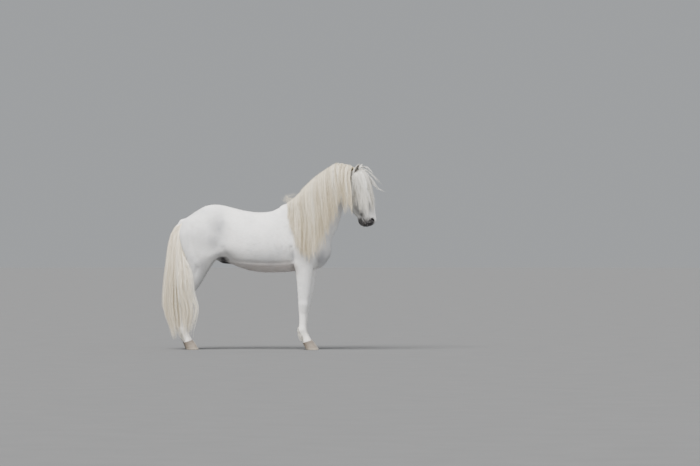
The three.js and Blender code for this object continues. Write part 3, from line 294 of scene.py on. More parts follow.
def smooth_union(a: Array, b: Array, blend: float) -> Array:
    """The distance to two shapes run together over a blend."""
    near = np.maximum(blend - np.abs(a - b), 0) / blend
    return np.minimum(a, b) - near * near * blend / 4


def smooth_cut(a: Array, b: Array, blend: float) -> Array:
    """The distance to shape a with shape b taken away over a blend."""
    return -smooth_union(-a, b, blend)


@dataclass
class Loft:
    """A length of body drawn round a straight axis, with rounded ends."""

    rows: tuple
    cap_start: float
    cap_end: float
    curve: Curve = field(init=False)

    def __post_init__(self) -> None:
        """Prepares the curve of the sections."""
        self.curve = Curve(self.rows)

    def distance(self, along: Array, side: Array, out: Array) -> Array:
        """How far points are outside the loft.

        Args:
            along: way along the axis.
            side: distance to the side of it.
            out: height above it.

        Returns:
            About millimetres near the skin, negative inside.
        """
        up, down, half, level, power_up, power_down = self.curve(along)
        rise = out - level
        above = rise > 0
        reach = np.where(above, up - level, level - down)
        power = np.where(above, power_up, power_down)
        share, radius = in_section(rise, side, reach, half, power)
        into_start = (self.rows[0][0] + self.cap_start - along) / self.cap_start
        into_end = (along - self.rows[-1][0] + self.cap_end) / self.cap_end
        past = np.maximum(np.maximum(into_start, into_end), 0)
        cap = np.where(into_start > into_end, self.cap_start, self.cap_end)
        scale = (radius * share + cap * past) / np.maximum(share + past, NOUGHT)
        return np.where(past == 0, (share - 1) * radius, (np.hypot(share, past) - 1) * scale)


@dataclass
class Leg:
    """A pair of legs, drawn by height; the left one stands a little out of line with the right one."""

    rows: tuple
    top: float
    far_low: float
    far_high: float
    cap: float = 90.0
    curve: Curve = field(init=False)

    def __post_init__(self) -> None:
        """Prepares the curve of the sections."""
        self.curve = Curve(self.rows)

    def far_shift(self, z: Array) -> Array:
        """How far forward the left leg stands at each height."""
        fade = np.clip((900 - z) / 120, 0, 1)
        return fade * (self.far_low + (self.far_high - self.far_low) * np.clip(z / 600, 0, 1))

    def middle(self, z: Array, side: Side) -> Array:
        """Points on the middle line of one leg at each height."""
        front, rear, away = self.curve(z)[:3]
        x = (front + rear) / 2 + (self.far_shift(z) if side is Side.LEFT else 0)
        return np.stack([x, side.value * away, z], axis=-1)

    def distance(self, x: Array, y: Array, z: Array) -> Array:
        """How far points are outside the nearer leg of the pair."""
        front, rear, away, half, power = self.curve(z)
        along = x - (front + rear) / 2 - np.where(y > 0, self.far_shift(z), 0)
        side = np.abs(y) - away
        reach = (front - rear) / 2
        share, radius = in_section(along, side, reach, half, power)
        past = np.maximum(0, z - self.top + self.cap) / self.cap
        return (np.hypot(share, past) - 1) * radius


@dataclass(frozen=True)
class Relief:
    """Muscles and hollows that raise or sink the skin about a middle."""

    forms: tuple

    def height(self, x: Array, y: Array, z: Array) -> Array:
        """How far all the forms together raise the skin at each point.

        Args:
            x: along X, or down the face.
            y: to the side.
            z: up, or out from the face.

        Returns:
            Millimetres for each point.
        """
        total = np.zeros_like(x)
        for _, at, radii, lean, lift in self.forms:
            cos, sin = math.cos(math.radians(lean)), math.sin(math.radians(lean))
            dx, dz = x - at[0], z - at[2]
            dy = (y if at[1] == 0 else np.abs(y) - at[1]) / radii[1]
            across = (dx * cos - dz * sin) / radii[0]
            rise = (dx * sin + dz * cos) / radii[2]
            q = dy * dy + across * across + rise * rise
            total += np.where(q < 9, lift * np.exp(-np.minimum(q, 9)), 0)
        return total


def to_head(points: Array) -> tuple[Array, Array, Array]:
    """World points in the head's own frame: down the face, to the side, out from it."""
    dx = points[..., 0] - POLL[0]
    y = points[..., 1]
    cos, sin = math.cos(HEAD_TURN), math.sin(HEAD_TURN)
    sx = POLL[0] + dx * cos + y * sin - HEAD_ORIGIN[0]
    sz = points[..., 2] - HEAD_ORIGIN[2]
    return sx * HEAD_ALONG[0] + sz * HEAD_ALONG[2], y * cos - dx * sin, sx * HEAD_OUT[0] + sz * HEAD_OUT[2]


def from_head(along: Array, side: Array, out: Array) -> Array:
    """Points of the head's own frame in the world."""
    along, side, out = np.broadcast_arrays(np.asarray(along, float), side, out)
    sx = HEAD_ORIGIN[0] + along * HEAD_ALONG[0] + out * HEAD_OUT[0] - POLL[0]
    z = HEAD_ORIGIN[2] + along * HEAD_ALONG[2] + out * HEAD_OUT[2]
    cos, sin = math.cos(HEAD_TURN), math.sin(HEAD_TURN)
    return np.stack([POLL[0] + sx * cos - side * sin, sx * sin + side * cos, z], axis=-1)


def head_direction(along: Array | float, side: Array | float, out: Array | float) -> Array:
    """A direction of the head's own frame in the world."""
    return unit(from_head(along, side, out) - from_head(0.0, 0.0, 0.0))


def on_face(points: Array) -> Array:
    """1 on the head before the cheeks, fading to 0 on the neck."""
    return step(640, 720, points[..., 0]) * step(1130, 1180, points[..., 2])


class Flesh:
    """The horse's flesh as one smooth field: lofts run together, with muscles raised on them."""

    NECK_BLEND, HEAD_BLEND, LEG_BLEND, SHEATH_BLEND = 70, 26, 46, 30
    SHEATH_X, SHEATH_Z, SHEATH_LONG, SHEATH_DEEP, SHEATH_RADIUS = 432, 868, 2.1, 1.1, 30
    MARCHES, HALVINGS, SAFE_STEP, LEAST_STEP = 90, 12, 0.7, 1.5

    def __init__(self) -> None:
        """Prepares the lofts, legs and relief."""
        self.torso = Loft(TORSO_ROWS, 105, 100)
        self.neck = Loft(NECK_ROWS, 60, 60)
        self.head = Loft(HEAD_ROWS, 55, 40)
        self.front = Leg(FRONT_LEG_ROWS, 1090, -26, 10)
        self.hind = Leg(HIND_LEG_ROWS, 1310, -45, -10)
        self.body_relief = Relief(BODY_RELIEF)
        self.head_relief = Relief(HEAD_RELIEF)

    def distance(self, points: Array) -> Array:
        """About how many millimetres each point is outside the flesh, negative inside.

        Args:
            points: places in the source's millimetres.

        Returns:
            One distance a point.
        """
        x, y, z = points[:, 0], points[:, 1], points[:, 2]
        d = self.torso.distance(x, y, z)
        fore = (z > 850) & (x > 100)
        if fore.any():
            p = points[fore]
            n = p - NECK_ORIGIN
            neck = self.neck.distance(n @ NECK_ALONG, p[:, 1], n @ NECK_OUT)
            down, side, out = to_head(p)
            head = self.head.distance(down, side, out) - self.head_relief.height(down, side, out)
            d[fore] = smooth_union(smooth_union(d[fore], neck, self.NECK_BLEND), head, self.HEAD_BLEND)
        for leg in (self.front, self.hind):
            d = smooth_union(d, leg.distance(x, y, z), self.LEG_BLEND)
        long, deep = (x + self.SHEATH_X) / self.SHEATH_LONG, (z - self.SHEATH_Z) / self.SHEATH_DEEP
        sheath = np.sqrt(long**2 + y**2 + deep**2) - self.SHEATH_RADIUS
        return smooth_union(d, sheath, self.SHEATH_BLEND) - self.body_relief.height(x, y, z)

    def outward(self, points: Array, reach: float = 2.0) -> Array:
        """The way out of the flesh at each point.

        Args:
            points: places on it or near it.
            reach: how far off the field is felt.

        Returns:
            Unit directions.
        """
        total = np.zeros_like(points)
        for corner in np.array([[1, 1, 1], [1, -1, -1], [-1, 1, -1], [-1, -1, 1]], float):
            total += corner * self.distance(points + corner * reach)[:, None]
        return unit(total / (4 * reach))

    def kept_off(self, points: Array, clear: Array | float) -> Array:
        """Moves points out until they clear the flesh.

        Args:
            points: places, which are changed.
            clear: how far off each one has to be.

        Returns:
            The same points.
        """
        short = clear - self.distance(points)
        low = short > 0
        if low.any():
            points[low] += self.outward(points[low]) * short[low, None]
        return points

    def cast(self, origin: Array, direction: Array) -> Array:
        """Where rays from inside the flesh leave it.

        Args:
            origin: points inside.
            direction: unit directions.

        Returns:
            The points where the rays meet the skin.
        """
        near, far = np.zeros(len(origin)), np.zeros(len(origin))
        going = np.ones(len(origin), bool)
        for _ in range(self.MARCHES):
            d = self.distance(origin[going] + direction[going] * far[going, None])
            out = d > 0
            inside = np.flatnonzero(going)
            near[inside[~out]] = far[inside[~out]]
            far[inside[~out]] += np.maximum(-d[~out] * self.SAFE_STEP, self.LEAST_STEP)
            going[inside[out]] = False
            if not going.any():
                break
        for _ in range(self.HALVINGS):
            half = (near + far) / 2
            out = self.distance(origin + direction * half[:, None]) > 0
            far, near = np.where(out, half, far), np.where(out, near, half)
        return origin + direction * near[:, None]


def placed(name: str, data: Mesh | bpy.types.Camera | bpy.types.Light) -> Object:
    """Puts data into the scene as an object at the origin."""
    obj = bpy.data.objects.new(name, data)
    bpy.context.scene.collection.objects.link(obj)
    return obj


def make_mesh(name: str, points: Array, faces: Array) -> Object:
    """Makes a smooth-shaded object from points and faces of one kind.

    Args:
        name: the object's name.
        points: millimetres in the source's frame.
        faces: indices, three or four a face.

    Returns:
        The new object, in the scene.
    """
    count, sides = faces.shape
    mesh = bpy.data.meshes.new(name)
    mesh.vertices.add(len(points))
    mesh.vertices.foreach_set("co", to_metres(points).astype(np.float32).ravel())
    mesh.loops.add(count * sides)
    mesh.loops.foreach_set("vertex_index", faces.astype(np.int32).ravel())
    mesh.polygons.add(count)
    mesh.polygons.foreach_set("loop_start", np.arange(0, count * sides, sides, dtype=np.int32))
    mesh.update(calc_edges=True)
    mesh.validate()
    mesh.shade_smooth()
    return placed(name, mesh)


def store(obj: Object, name: str, values: Array) -> None:
    """Keeps one number per vertex as an attribute of a mesh."""
    layer = obj.data.attributes.new(name, "FLOAT", "POINT")
    layer.data.foreach_set("value", values.astype(np.float32))


def store_map(obj: Object, corners: Array) -> None:
    """Keeps a place on the skin's unwrap for each corner of a mesh."""
    layer = obj.data.uv_layers.new(name="OFBake")
    layer.data.foreach_set("uv", corners.astype(np.float32).ravel())


def vertex_points(obj: Object) -> Array:
    """A mesh's vertices in the source's millimetres."""
    points = np.empty(len(obj.data.vertices) * 3, np.float32)
    obj.data.vertices.foreach_get("co", points)
    return points.reshape(-1, 3).astype(float) / MM - ORIGIN_SHIFT


def corner_indices(mesh: Mesh) -> Array:
    """The vertex of each corner of a mesh."""
    indices = np.empty(len(mesh.loops), np.int32)
    mesh.loops.foreach_get("vertex_index", indices)
    return indices


class Region(Enum):
    """A stretch of the body with an island of its own on the skin's unwrap: low and high corner."""

    TORSO = (0.00, 0.00, 0.62, 0.46)
    NECK = (0.00, 0.48, 0.34, 0.76)
    HEAD = (0.36, 0.48, 0.62, 0.98)
    FRONT_RIGHT = (0.64, 0.00, 0.99, 0.24)
    FRONT_LEFT = (0.64, 0.25, 0.99, 0.49)
    HIND_RIGHT = (0.64, 0.50, 0.99, 0.74)
    HIND_LEFT = (0.64, 0.75, 0.99, 0.99)


@dataclass
class Unwrap:
    """The skin unrolled: each region by the way along it and the turn about its middle."""

    flesh: Flesh

    def region(self, points: Array) -> Array:
        """The number of the region that each point belongs to."""
        x, y, z = points.T
        fore = NECK_ORIGIN + NECK_ALONG * 165
        result = np.zeros(len(points), int)
        result[(points - fore) @ NECK_ALONG > 0] = 1
        result[(x - 735) * 0.992 - (z - 1412) * 0.128 > 0] = 2
        below = z < np.where(x > 0, 770, 850)
        legs = 3 + (y > 0) + 2 * (x < 0)
        return np.where(below, legs, result)

    def place(self, points: Array, region: Array) -> tuple[Array, Array]:
        """The way along and the turn, both from 0 to 1, of each point in a given region.

        Args:
            points: places in the source's millimetres.
            region: each point's region, by number.

        Returns:
            The ways along and the turns.
        """
        x, y, z = points.T
        n = points - NECK_ORIGIN
        down, side, out = to_head(points)
        along = [(x + 930) / 1560, (n @ NECK_ALONG) / 880, (down + 70) / 700]
        turn = [np.arctan2(y, z - 1080), np.arctan2(y, n @ NECK_OUT), np.arctan2(side, out)]
        for leg in (self.flesh.front, self.flesh.hind):
            for leg_side in Side:
                middle = leg.middle(z, leg_side)
                along.append((z - 40) / 860)
                turn.append(np.arctan2(y - middle[:, 1], x - middle[:, 0]))
        rows = np.arange(len(points))
        return np.clip(np.stack(along, 1)[rows, region], 0, 1), np.stack(turn, 1)[rows, region] / (2 * np.pi)

    def corners(self, points: Array, anchors: Array) -> Array:
        """Places on the unwrap, each in the island of its anchor and on the anchor's side of the seam.

        Args:
            points: the corners.
            anchors: for each corner, the middle of its face or the root of its tuft.

        Returns:
            One place a corner.
        """
        region = self.region(anchors)
        along, turn = self.place(points, region)
        _, anchor_turn = self.place(anchors, region)
        turn = anchor_turn + (turn - anchor_turn + 0.5) % 1 - 0.5
        box = np.array([island.value for island in Region])[region]
        u = box[:, 0] + along * (box[:, 2] - box[:, 0])
        v = box[:, 1] + np.clip(turn + 0.5, -0.04, 1.04) * (box[:, 3] - box[:, 1])
        return np.stack([u, np.clip(v, 0, 1)], 1)


class NetMesher:
    """Draws a closed surface round a field: one vertex in each grid cell that the surface passes."""

    CORNERS = np.array([[i, j, k] for i in (0, 1) for j in (0, 1) for k in (0, 1)])
    EDGES = [(a, b) for a in range(8) for b in range(a + 1, 8) if bin(a ^ b).count("1") == 1]
    STRIDE, BAND, BATCH = 4, 62, 400000

    def __init__(self, xs: Array, ys: Array, zs: Array) -> None:
        """Keeps the levels of the grid along each axis."""
        self.levels = (xs, ys, zs)

    def sample(self, distance: Callable[[Array], Array]) -> Array:
        """Measures the field on the grid, finely only near the surface.

        Args:
            distance: the field, from points to distances.

        Returns:
            One value a grid point.
        """
        xs, ys, zs = self.levels
        coarse = [level[:: self.STRIDE] for level in self.levels]
        grid = np.stack(np.meshgrid(*coarse, indexing="ij"), -1).reshape(-1, 3)
        rough = distance(grid).reshape([len(level) for level in coarse])
        for axis in range(3):
            rough = np.repeat(rough, self.STRIDE, axis=axis)
        values = rough[: len(xs), : len(ys), : len(zs)].copy()
        i, j, k = np.nonzero(np.abs(values) < self.BAND)
        for part in np.array_split(np.arange(len(i)), max(1, len(i) // self.BATCH)):
            a, b, c = i[part], j[part], k[part]
            values[a, b, c] = distance(np.stack([xs[a], ys[b], zs[c]], 1))
        return values

    def surface(self, values: Array) -> tuple[Array, Array]:
        """The points and four-sided faces of the surface where the values pass zero.

        Args:
            values: the field at each grid point.

        Returns:
            The points, and the faces as indices.
        """
        inside = values < 0
        shape = np.array(values.shape) - 1
        count = np.zeros(shape, np.int8)
        for a, b, c in self.CORNERS:
            count += inside[a : a + shape[0], b : b + shape[1], c : c + shape[2]]
        cells = np.argwhere((count > 0) & (count < 8))
        index = np.full(shape, -1, np.int64)
        index[tuple(cells.T)] = np.arange(len(cells))
        total, crossings = np.zeros((len(cells), 3)), np.zeros(len(cells))
        for first, second in self.EDGES:
            a, b = cells + self.CORNERS[first], cells + self.CORNERS[second]
            va, vb = values[tuple(a.T)], values[tuple(b.T)]
            crossed = (va < 0) != (vb < 0)
            t = np.where(crossed, va / np.where(crossed, va - vb, 1), 0)[:, None]
            pa = np.stack([level[a[:, n]] for n, level in enumerate(self.levels)], 1)
            pb = np.stack([level[b[:, n]] for n, level in enumerate(self.levels)], 1)
            total += np.where(crossed[:, None], pa + (pb - pa) * t, 0)
            crossings += crossed
        points = total / crossings[:, None]
        faces = []
        for axis in range(3):
            u, v = (axis + 1) % 3, (axis + 2) % 3
            ahead = [slice(None)] * 3
            ahead[axis] = slice(1, None)
            behind = [slice(None)] * 3
            behind[axis] = slice(0, -1)
            enters = inside[tuple(behind)] & ~inside[tuple(ahead)]
            leaves = ~inside[tuple(behind)] & inside[tuple(ahead)]
            for crossed, outward in ((enters, True), (leaves, False)):
                at = np.argwhere(crossed)
                ring = []
                for du, dv in ((1, 1), (0, 1), (0, 0), (1, 0)):
                    cell = at.copy()
                    cell[:, u] -= du
                    cell[:, v] -= dv
                    ring.append(index[tuple(cell.T)])
                quad = np.stack(ring if outward else ring[::-1], 1)
                faces.append(quad)
        return points, np.concatenate(faces)


def spaced(*stretches: tuple[float, float, float]) -> Array:
    """Grid levels from stretches given as start, end and spacing."""
    levels = [np.arange(start, end - gap / 2, gap) for start, end, gap in stretches]
    return np.append(np.concatenate(levels), stretches[-1][1])


# Folds and hollows, alike on both sides: width, depth (raised where below nought), then points along them.
# Those of the body are given by X and Z, those of the face by the way down it and out from it.
CREASES = (
    (15, 5.0, (-407, 886), (-300, 866), (-170, 853), (-30, 846), (120, 848), (240, 858)),
    (34, -3.0, (-250, 826), (-60, 800), (120, 802)),
    (17, 12.0, (230, 1000), (246, 925), (256, 850), (246, 776)),
    (34, 6.0, (215, 1180), (238, 1020), (250, 890)),
    (58, 10.0, (-440, 1270), (-462, 1190), (-458, 1090)),
    (22, 7.0, (-432, 990), (-402, 905)),
    (27, 5.5, (-745, 1190), (-738, 1040), (-700, 900)),
    (40, -2.5, (-575, 1305), (-548, 1285)),
    (60, -2.5, (-620, 1090), (-600, 1010)),
    (26, 6.0, (690, 1340), (625, 1190), (535, 1070), (500, 1000)),
    (30, -3.0, (190, 1320), (300, 1150), (415, 1000)),
    (15, 7.0, (470, 905), (480, 850), (462, 800)),
    (12, 3.5, (332, 800), (322, 700), (318, 610)),
    (14, 5.0, (-690, 800), (-752, 640)),
)
FOLD_REACH = 2.4
FACE_CREASES = (
    (8, -2.6, (232, 22), (345, 22)),
    (12, 2.2, (238, 2), (350, 6)),
    (17, 4.0, (112, 58), (135, 66)),
    (16, 2.4, (360, -8), (420, 28)),
    (30, -2.4, (150, -62), (215, -74)),
)


def creased(table: tuple, first: Array, second: Array) -> Array:
    """How much a table's folds lower the surface at places in their plane.

    Args:
        table: rows of width, depth and points.
        first: places along the plane's first axis.
        second: places along its second.

    Returns:
        Millimetres for each place.
    """
    total = np.zeros(len(first))
    for width, depth, *path in table:
        path = np.array(path, float)
        low, high = path.min(0) - FOLD_REACH * width, path.max(0) + FOLD_REACH * width
        near = (first > low[0]) & (first < high[0]) & (second > low[1]) & (second < high[1])
        if not near.any():
            continue
        place = np.stack([first[near], second[near]], 1)
        reach = np.full(len(place), FAR_OFF)
        for start, end in zip(path, path[1:]):
            reach = np.minimum(reach, to_segment(place, start, end)[0])
        total[near] += depth * np.exp(-((reach / width) ** 2))
    return total


@dataclass
class Skin:
    """The one skin over all the flesh, with eye sockets, nostrils, lips and folds."""

    flesh: Flesh
    depth: float = 3.0
    face_depth: float = 1.2
    sole_cut: float = 57.0
    nostril_at: tuple = (526.0, 59.0)
    nostril_radii: tuple = (25.0, 20.0, 8.5)
    mouth_corner: tuple = (458.0, -33.0)
    mouth_front: tuple = (572.0, 2.0)
    dock: tuple = ((-800, 0, 1262, 25), (-862, 0, 1244, 25), (-902, 0, 1186, 22), (-922, -6, 1110, 17),
                   (-930, -16, 1010, 9))

    grid_x: tuple = ((-945, 660, 12.7), (660, 700, 7.0), (700, 1096, 4.4))
    grid_y: tuple = ((-300, -200, 10.0), (-200, -130, 7.0), (-130, 116, 4.9), (116, 200, 7.0),
                     (200, 300, 10.0))
    grid_z: tuple = ((44, 1150, 11.2), (1150, 1200, 7.0), (1200, 1640, 4.4), (1640, 1800, 6.0))
    feel: float = 1.5
    furthest: float = 6.0

    def __post_init__(self) -> None:
        """Finds how far from the middle of the nose each nostril opens."""
        inside = from_head(self.nostril_at[0], 0.0, self.nostril_at[1])[None]
        skin = self.flesh.cast(inside, head_direction(0, -1.0, 0)[None])
        self.nostril_side = float(np.abs(to_head(skin)[1][0])) - 4.0

    def eye_middle(self, side: Side) -> Array:
        """The middle of an eyeball."""
        start = from_head(EYE_ALONG, 0.0, EYE_OUT)[None]
        skin = self.flesh.cast(start, head_direction(0, side.value, 0)[None])[0]
        return skin + self.gaze(side) * (EYE_PROUD - EYE_RADIUS)

    def gaze(self, side: Side) -> Array:
        """The way that an eye looks."""
        return head_direction(-0.06, side.value, 0.16)

    def coat_depth(self, points: Array) -> Array:
        """How deep the skin lies under the solids' surface: less on the face and the lower legs."""
        down, _, _ = to_head(points)
        face = step(20, 120, down) * step(1120, 1200, points[:, 2]) * step(640, 720, points[:, 0])
        shank = step(520, 380, points[:, 2])
        return self.depth + (self.face_depth - self.depth) * np.maximum(face, shank * 0.6)

    def distance(self, points: Array) -> Array:
        """The skin's own field: the flesh less the coat, with the dock run in and the openings cut.

        Args:
            points: places in the source's millimetres.

        Returns:
            One distance a point.
        """
        d = self.flesh.distance(points) + self.coat_depth(points)
        rear = points[:, 0] < -700
        if rear.any():
            p = points[rear]
            dock = np.full(len(p), FAR_OFF)
            for a, b in zip(self.dock, self.dock[1:]):
                reach, t = to_segment(p, np.array(a[:3], float), np.array(b[:3], float))
                dock = np.minimum(dock, reach - (a[3] + (b[3] - a[3]) * t))
            d[rear] = smooth_union(d[rear], dock, 22)
        d = d + creased(CREASES, points[:, 0], points[:, 2]) * step(36, 84, np.abs(points[:, 1]))
        face = (points[:, 0] > 700) & (points[:, 2] > 1130)
        if face.any():
            d[face] = self.face_distance(points[face], d[face])
        return np.maximum(d, self.sole_cut - points[:, 2])

    def face_distance(self, points: Array, d: Array) -> Array:
        """The field about the face, with sockets, nostrils and the line of the mouth.

        Args:
            points: places about the face.
            d: the field there without them.

        Returns:
            The field with them.
        """
        for side in Side:
            socket = np.linalg.norm(points - self.eye_middle(side), axis=1) - EYE_RADIUS - 1.0
            d = smooth_cut(d, socket, 7)
        down, side, out = to_head(points)
        d = d + creased(FACE_CREASES, down, out) * step(24, 46, np.abs(side))
        along = down - self.nostril_at[0]
        rise = out - self.nostril_at[1]
        lean = 0.45
        lengthways = (along * math.cos(lean) + rise * math.sin(lean)) / self.nostril_radii[0]
        across = (rise * math.cos(lean) - along * math.sin(lean)) / self.nostril_radii[2]
        deep = (np.abs(side) - self.nostril_side) / self.nostril_radii[1]
        comma = across - 0.5 * (1 - lengthways**2)
        nostril = (np.sqrt(lengthways**2 + comma**2 + deep**2) - 1) * self.nostril_radii[2]
        rim = 3.2 * np.exp(-((np.sqrt(lengthways**2 + comma**2) - 1.25) ** 2) / 0.12)
        rim = rim * step(-26, -8, np.abs(side) - self.nostril_side)
        d = smooth_cut(d - rim, nostril, 6)
        reach = np.array(self.mouth_front) - np.array(self.mouth_corner)
        length = np.hypot(*reach)
        way = ((down - self.mouth_corner[0]) * reach[0] + (out - self.mouth_corner[1]) * reach[1]) / length
        off = ((out - self.mouth_corner[1]) * reach[0] - (down - self.mouth_corner[0]) * reach[1]) / length
        off = off + 3.0 * np.sin(way / length * 5.5)
        line = step(-8, 10, way)
        d += line * (4.2 * bump(off, 0, 4.2) - 2.0 * bump(off, 12, 9) - 2.2 * bump(off, -12, 9))
        wrinkle = step(-40, -5, way) * step(30, 0, way) * step(34, 48, np.abs(side))
        return d + wrinkle * 0.9 * np.sin(way / 3.6 + off * 0.12)

    def darkness(self, points: Array) -> Array:
        """How far the dark skin shows at each point: muzzle, lips, nostrils, eye rims and sheath, with painted
        shade about the sheath and in the groin.

        Args:
            points: places in the source's millimetres.

        Returns:
            From 0 to 1 for each point.
        """
        down, side, out = to_head(points)
        open_at = ((down - self.nostril_at[0]) / 34) ** 2 + ((out - self.nostril_at[1] + 2) / 24) ** 2
        nostril = np.exp(-open_at - ((np.abs(side) - self.nostril_side) / 36) ** 2)
        mouth_off = out - (self.mouth_corner[1] + (down - self.mouth_corner[0]) * 0.3)
        lips = step(430, 500, down) * bump(mouth_off, 0, 19) * 0.8
        lower = step(420, 490, down) * step(10, -14, mouth_off) * 0.76
        upper = step(448, 530, down) * step(92, 34, out) * 0.82
        streaks = step(270, 430, down) * bump(mouth_off, 2, 50) * 0.56
        muzzle = np.maximum.reduce([nostril * 1.2, lips, upper, lower, streaks])
        eyes = np.zeros(len(points))
        for eye in Side:
            reach = np.linalg.norm(points - self.eye_middle(eye), axis=1)
            eyes = np.maximum(eyes, step(46, 18, reach) * 0.5)
        x, y, z = points.T
        # Painted shade: the sheath and the groin patch are partly dark bare skin and partly painted shade of
        # the hollow between the thighs and under the belly.
        sheath = bump(x, -430, 62) * step(70, 25, np.abs(y)) * step(890, 850, z) * step(760, 800, z)
        groin = bump(x, -455, 70) * step(150, 95, np.abs(y)) * step(975, 900, z) * step(800, 850, z) * 0.8
        return np.clip(np.maximum.reduce([on_face(points) * np.maximum(muzzle, eyes), sheath, groin]), 0, 1)

    def greyness(self, points: Array) -> Array:
        """How much grey mottling and painted shade the coat carries: most in the hollow before the haunch,
        less on stifle, thigh and shoulder.

        Args:
            points: places in the source's millimetres.

        Returns:
            From 0 to 1 for each point.
        """
        x, y, z = points.T
        side = step(40, 110, np.abs(y))
        # Painted shade mixed with grey mottling: the hollow before the haunch, the breast and the elbow crease
        # are greyed as painted shade of hollows and folds; stifle, thigh, shoulder and hind legs are grey
        # mottling with some painted shade.
        hollow = np.exp(-(((x + 465) / np.where(x < -465, 115, 58)) ** 2)) * bump(z, 1200, 145) * 0.8
        stifle = bump(x, -495, 105) * bump(z, 1065, 90)
        thigh = bump(x, -650, 120) * bump(z, 1110, 130) * 0.35
        shoulder = bump(x, 330, 120) * bump(z, 1040, 130) * 0.35
        rear_leg = step(-560, -640, x) * step(960, 820, z) * step(420, 560, z) * 0.45
        breast = step(445, 515, x) * bump(z, 870, 90) * 0.85
        elbow = bump(x, 244, 21) * bump(z, 900, 92) * 0.75
        sides = side * np.maximum.reduce([hollow, stifle * 0.72, thigh, shoulder, rear_leg])
        return np.maximum.reduce([sides, breast, elbow])

    def warmth(self, points: Array) -> Array:
        """How warm and dull the coat is, with painted shade under the belly: most along the belly, and at the
        knees and pasterns.
        """
        x, _, z = points.T
        # Painted shade: the belly band darkens the underside where shade falls, as well as giving it a pinkish
        # tone.
        belly = step(905, 800, z) * step(-470, -380, x) * step(330, 240, x) * step(700, 760, z)
        return np.maximum(belly * 0.6, step(230, 90, z) * 0.3)

    def mark(self, obj: Object, points: Array) -> None:
        """Stores the markings and the painted shade that the coat's finish reads."""
        store(obj, "dark", self.darkness(points))
        store(obj, "grey", self.greyness(points))
        store(obj, "warm", self.warmth(points))

    def build(self, unwrap: Unwrap) -> Object:
        """Meshes the skin, brings each vertex onto the field and stores what the finish reads.

        Args:
            unwrap: where the skin's islands lie.

        Returns:
            The skin.
        """
        mesher = NetMesher(*(spaced(*stretches) for stretches in (self.grid_x, self.grid_y, self.grid_z)))
        points, faces = mesher.surface(mesher.sample(self.distance))
        for relax in (0.5, 0.5, 0.0):
            if relax:
                points = self.relaxed(points, faces, relax)
            for _ in range(2):
                slope = np.zeros_like(points)
                for axis, shift in enumerate(np.eye(3) * self.feel):
                    slope[:, axis] = self.distance(points + shift) - self.distance(points - shift)
                size = np.maximum(np.linalg.norm(slope, axis=1) / (2 * self.feel), 0.3)
                move = np.clip(self.distance(points) / size, -self.furthest, self.furthest)
                points = points - unit(slope) * move[:, None]
        obj = make_mesh("skin", points, faces)
        self.mark(obj, points)
        corners = corner_indices(obj.data)
        middles = np.repeat(points[corners].reshape(-1, 4, 3).mean(axis=1), 4, axis=0)
        store_map(obj, unwrap.corners(points[corners], middles))
        return obj

    @staticmethod
    def relaxed(points: Array, faces: Array, share: float) -> Array:
        """Points moved towards the middle of their neighbours by a share of the way."""
        ends = np.concatenate([faces[:, [k, (k + 1) % 4]] for k in range(4)])
        total = np.zeros_like(points)
        for axis in range(3):
            total[:, axis] = np.bincount(ends[:, 0], points[ends[:, 1], axis], len(points))
            total[:, axis] += np.bincount(ends[:, 1], points[ends[:, 0], axis], len(points))
        count = np.bincount(ends.ravel(), minlength=len(points))
        return points + share * (total / count[:, None] - points)


def chain(points: tuple, count: int) -> Array:
    """A smooth way through a few points, sampled evenly by number."""
    table = tuple((float(i), *p) for i, p in enumerate(points))
    columns = Curve(table, 200)(np.linspace(0, len(points) - 1, count))
    return np.stack(columns, axis=1)


def resample(paths: Array, lengths: Array, count: int) -> Array:
    """Paths of equal steps cut to their own lengths and sampled alike.

    Args:
        paths: strands of many steps, strand by step by axis.
        lengths: how many steps of each strand are kept.
        count: points a strand in the result.

    Returns:
        Strand by point by axis.
    """
    where = np.linspace(0, 1, count)[None, :] * lengths[:, None]
    low = np.clip(where.astype(int), 0, paths.shape[1] - 2)
    part = (where - low)[..., None]
    rows = np.arange(len(paths))[:, None]
    return paths[rows, low] * (1 - part) + paths[rows, low + 1] * part


def softened(paths: Array) -> Array:
    """Paths whose inner points are drawn towards their neighbours."""
    soft = paths.copy()
    soft[:, 1:-1] = (paths[:, :-2] + 2 * paths[:, 1:-1] + paths[:, 2:]) / 4
    return soft


@dataclass
class Strands:
    """Hair as lines: their points, half widths, roots and shades."""

    paths: Array
    thickness: Array
    tint: Array
    roots: Array
    facing: Array | None = None

    @staticmethod
    def joined(parts: list["Strands"]) -> "Strands":
        """Several lots of strands of one point count as one."""
        return Strands(*(np.concatenate([getattr(p, name) for p in parts]) for name in
                         ("paths", "thickness", "tint", "roots")))


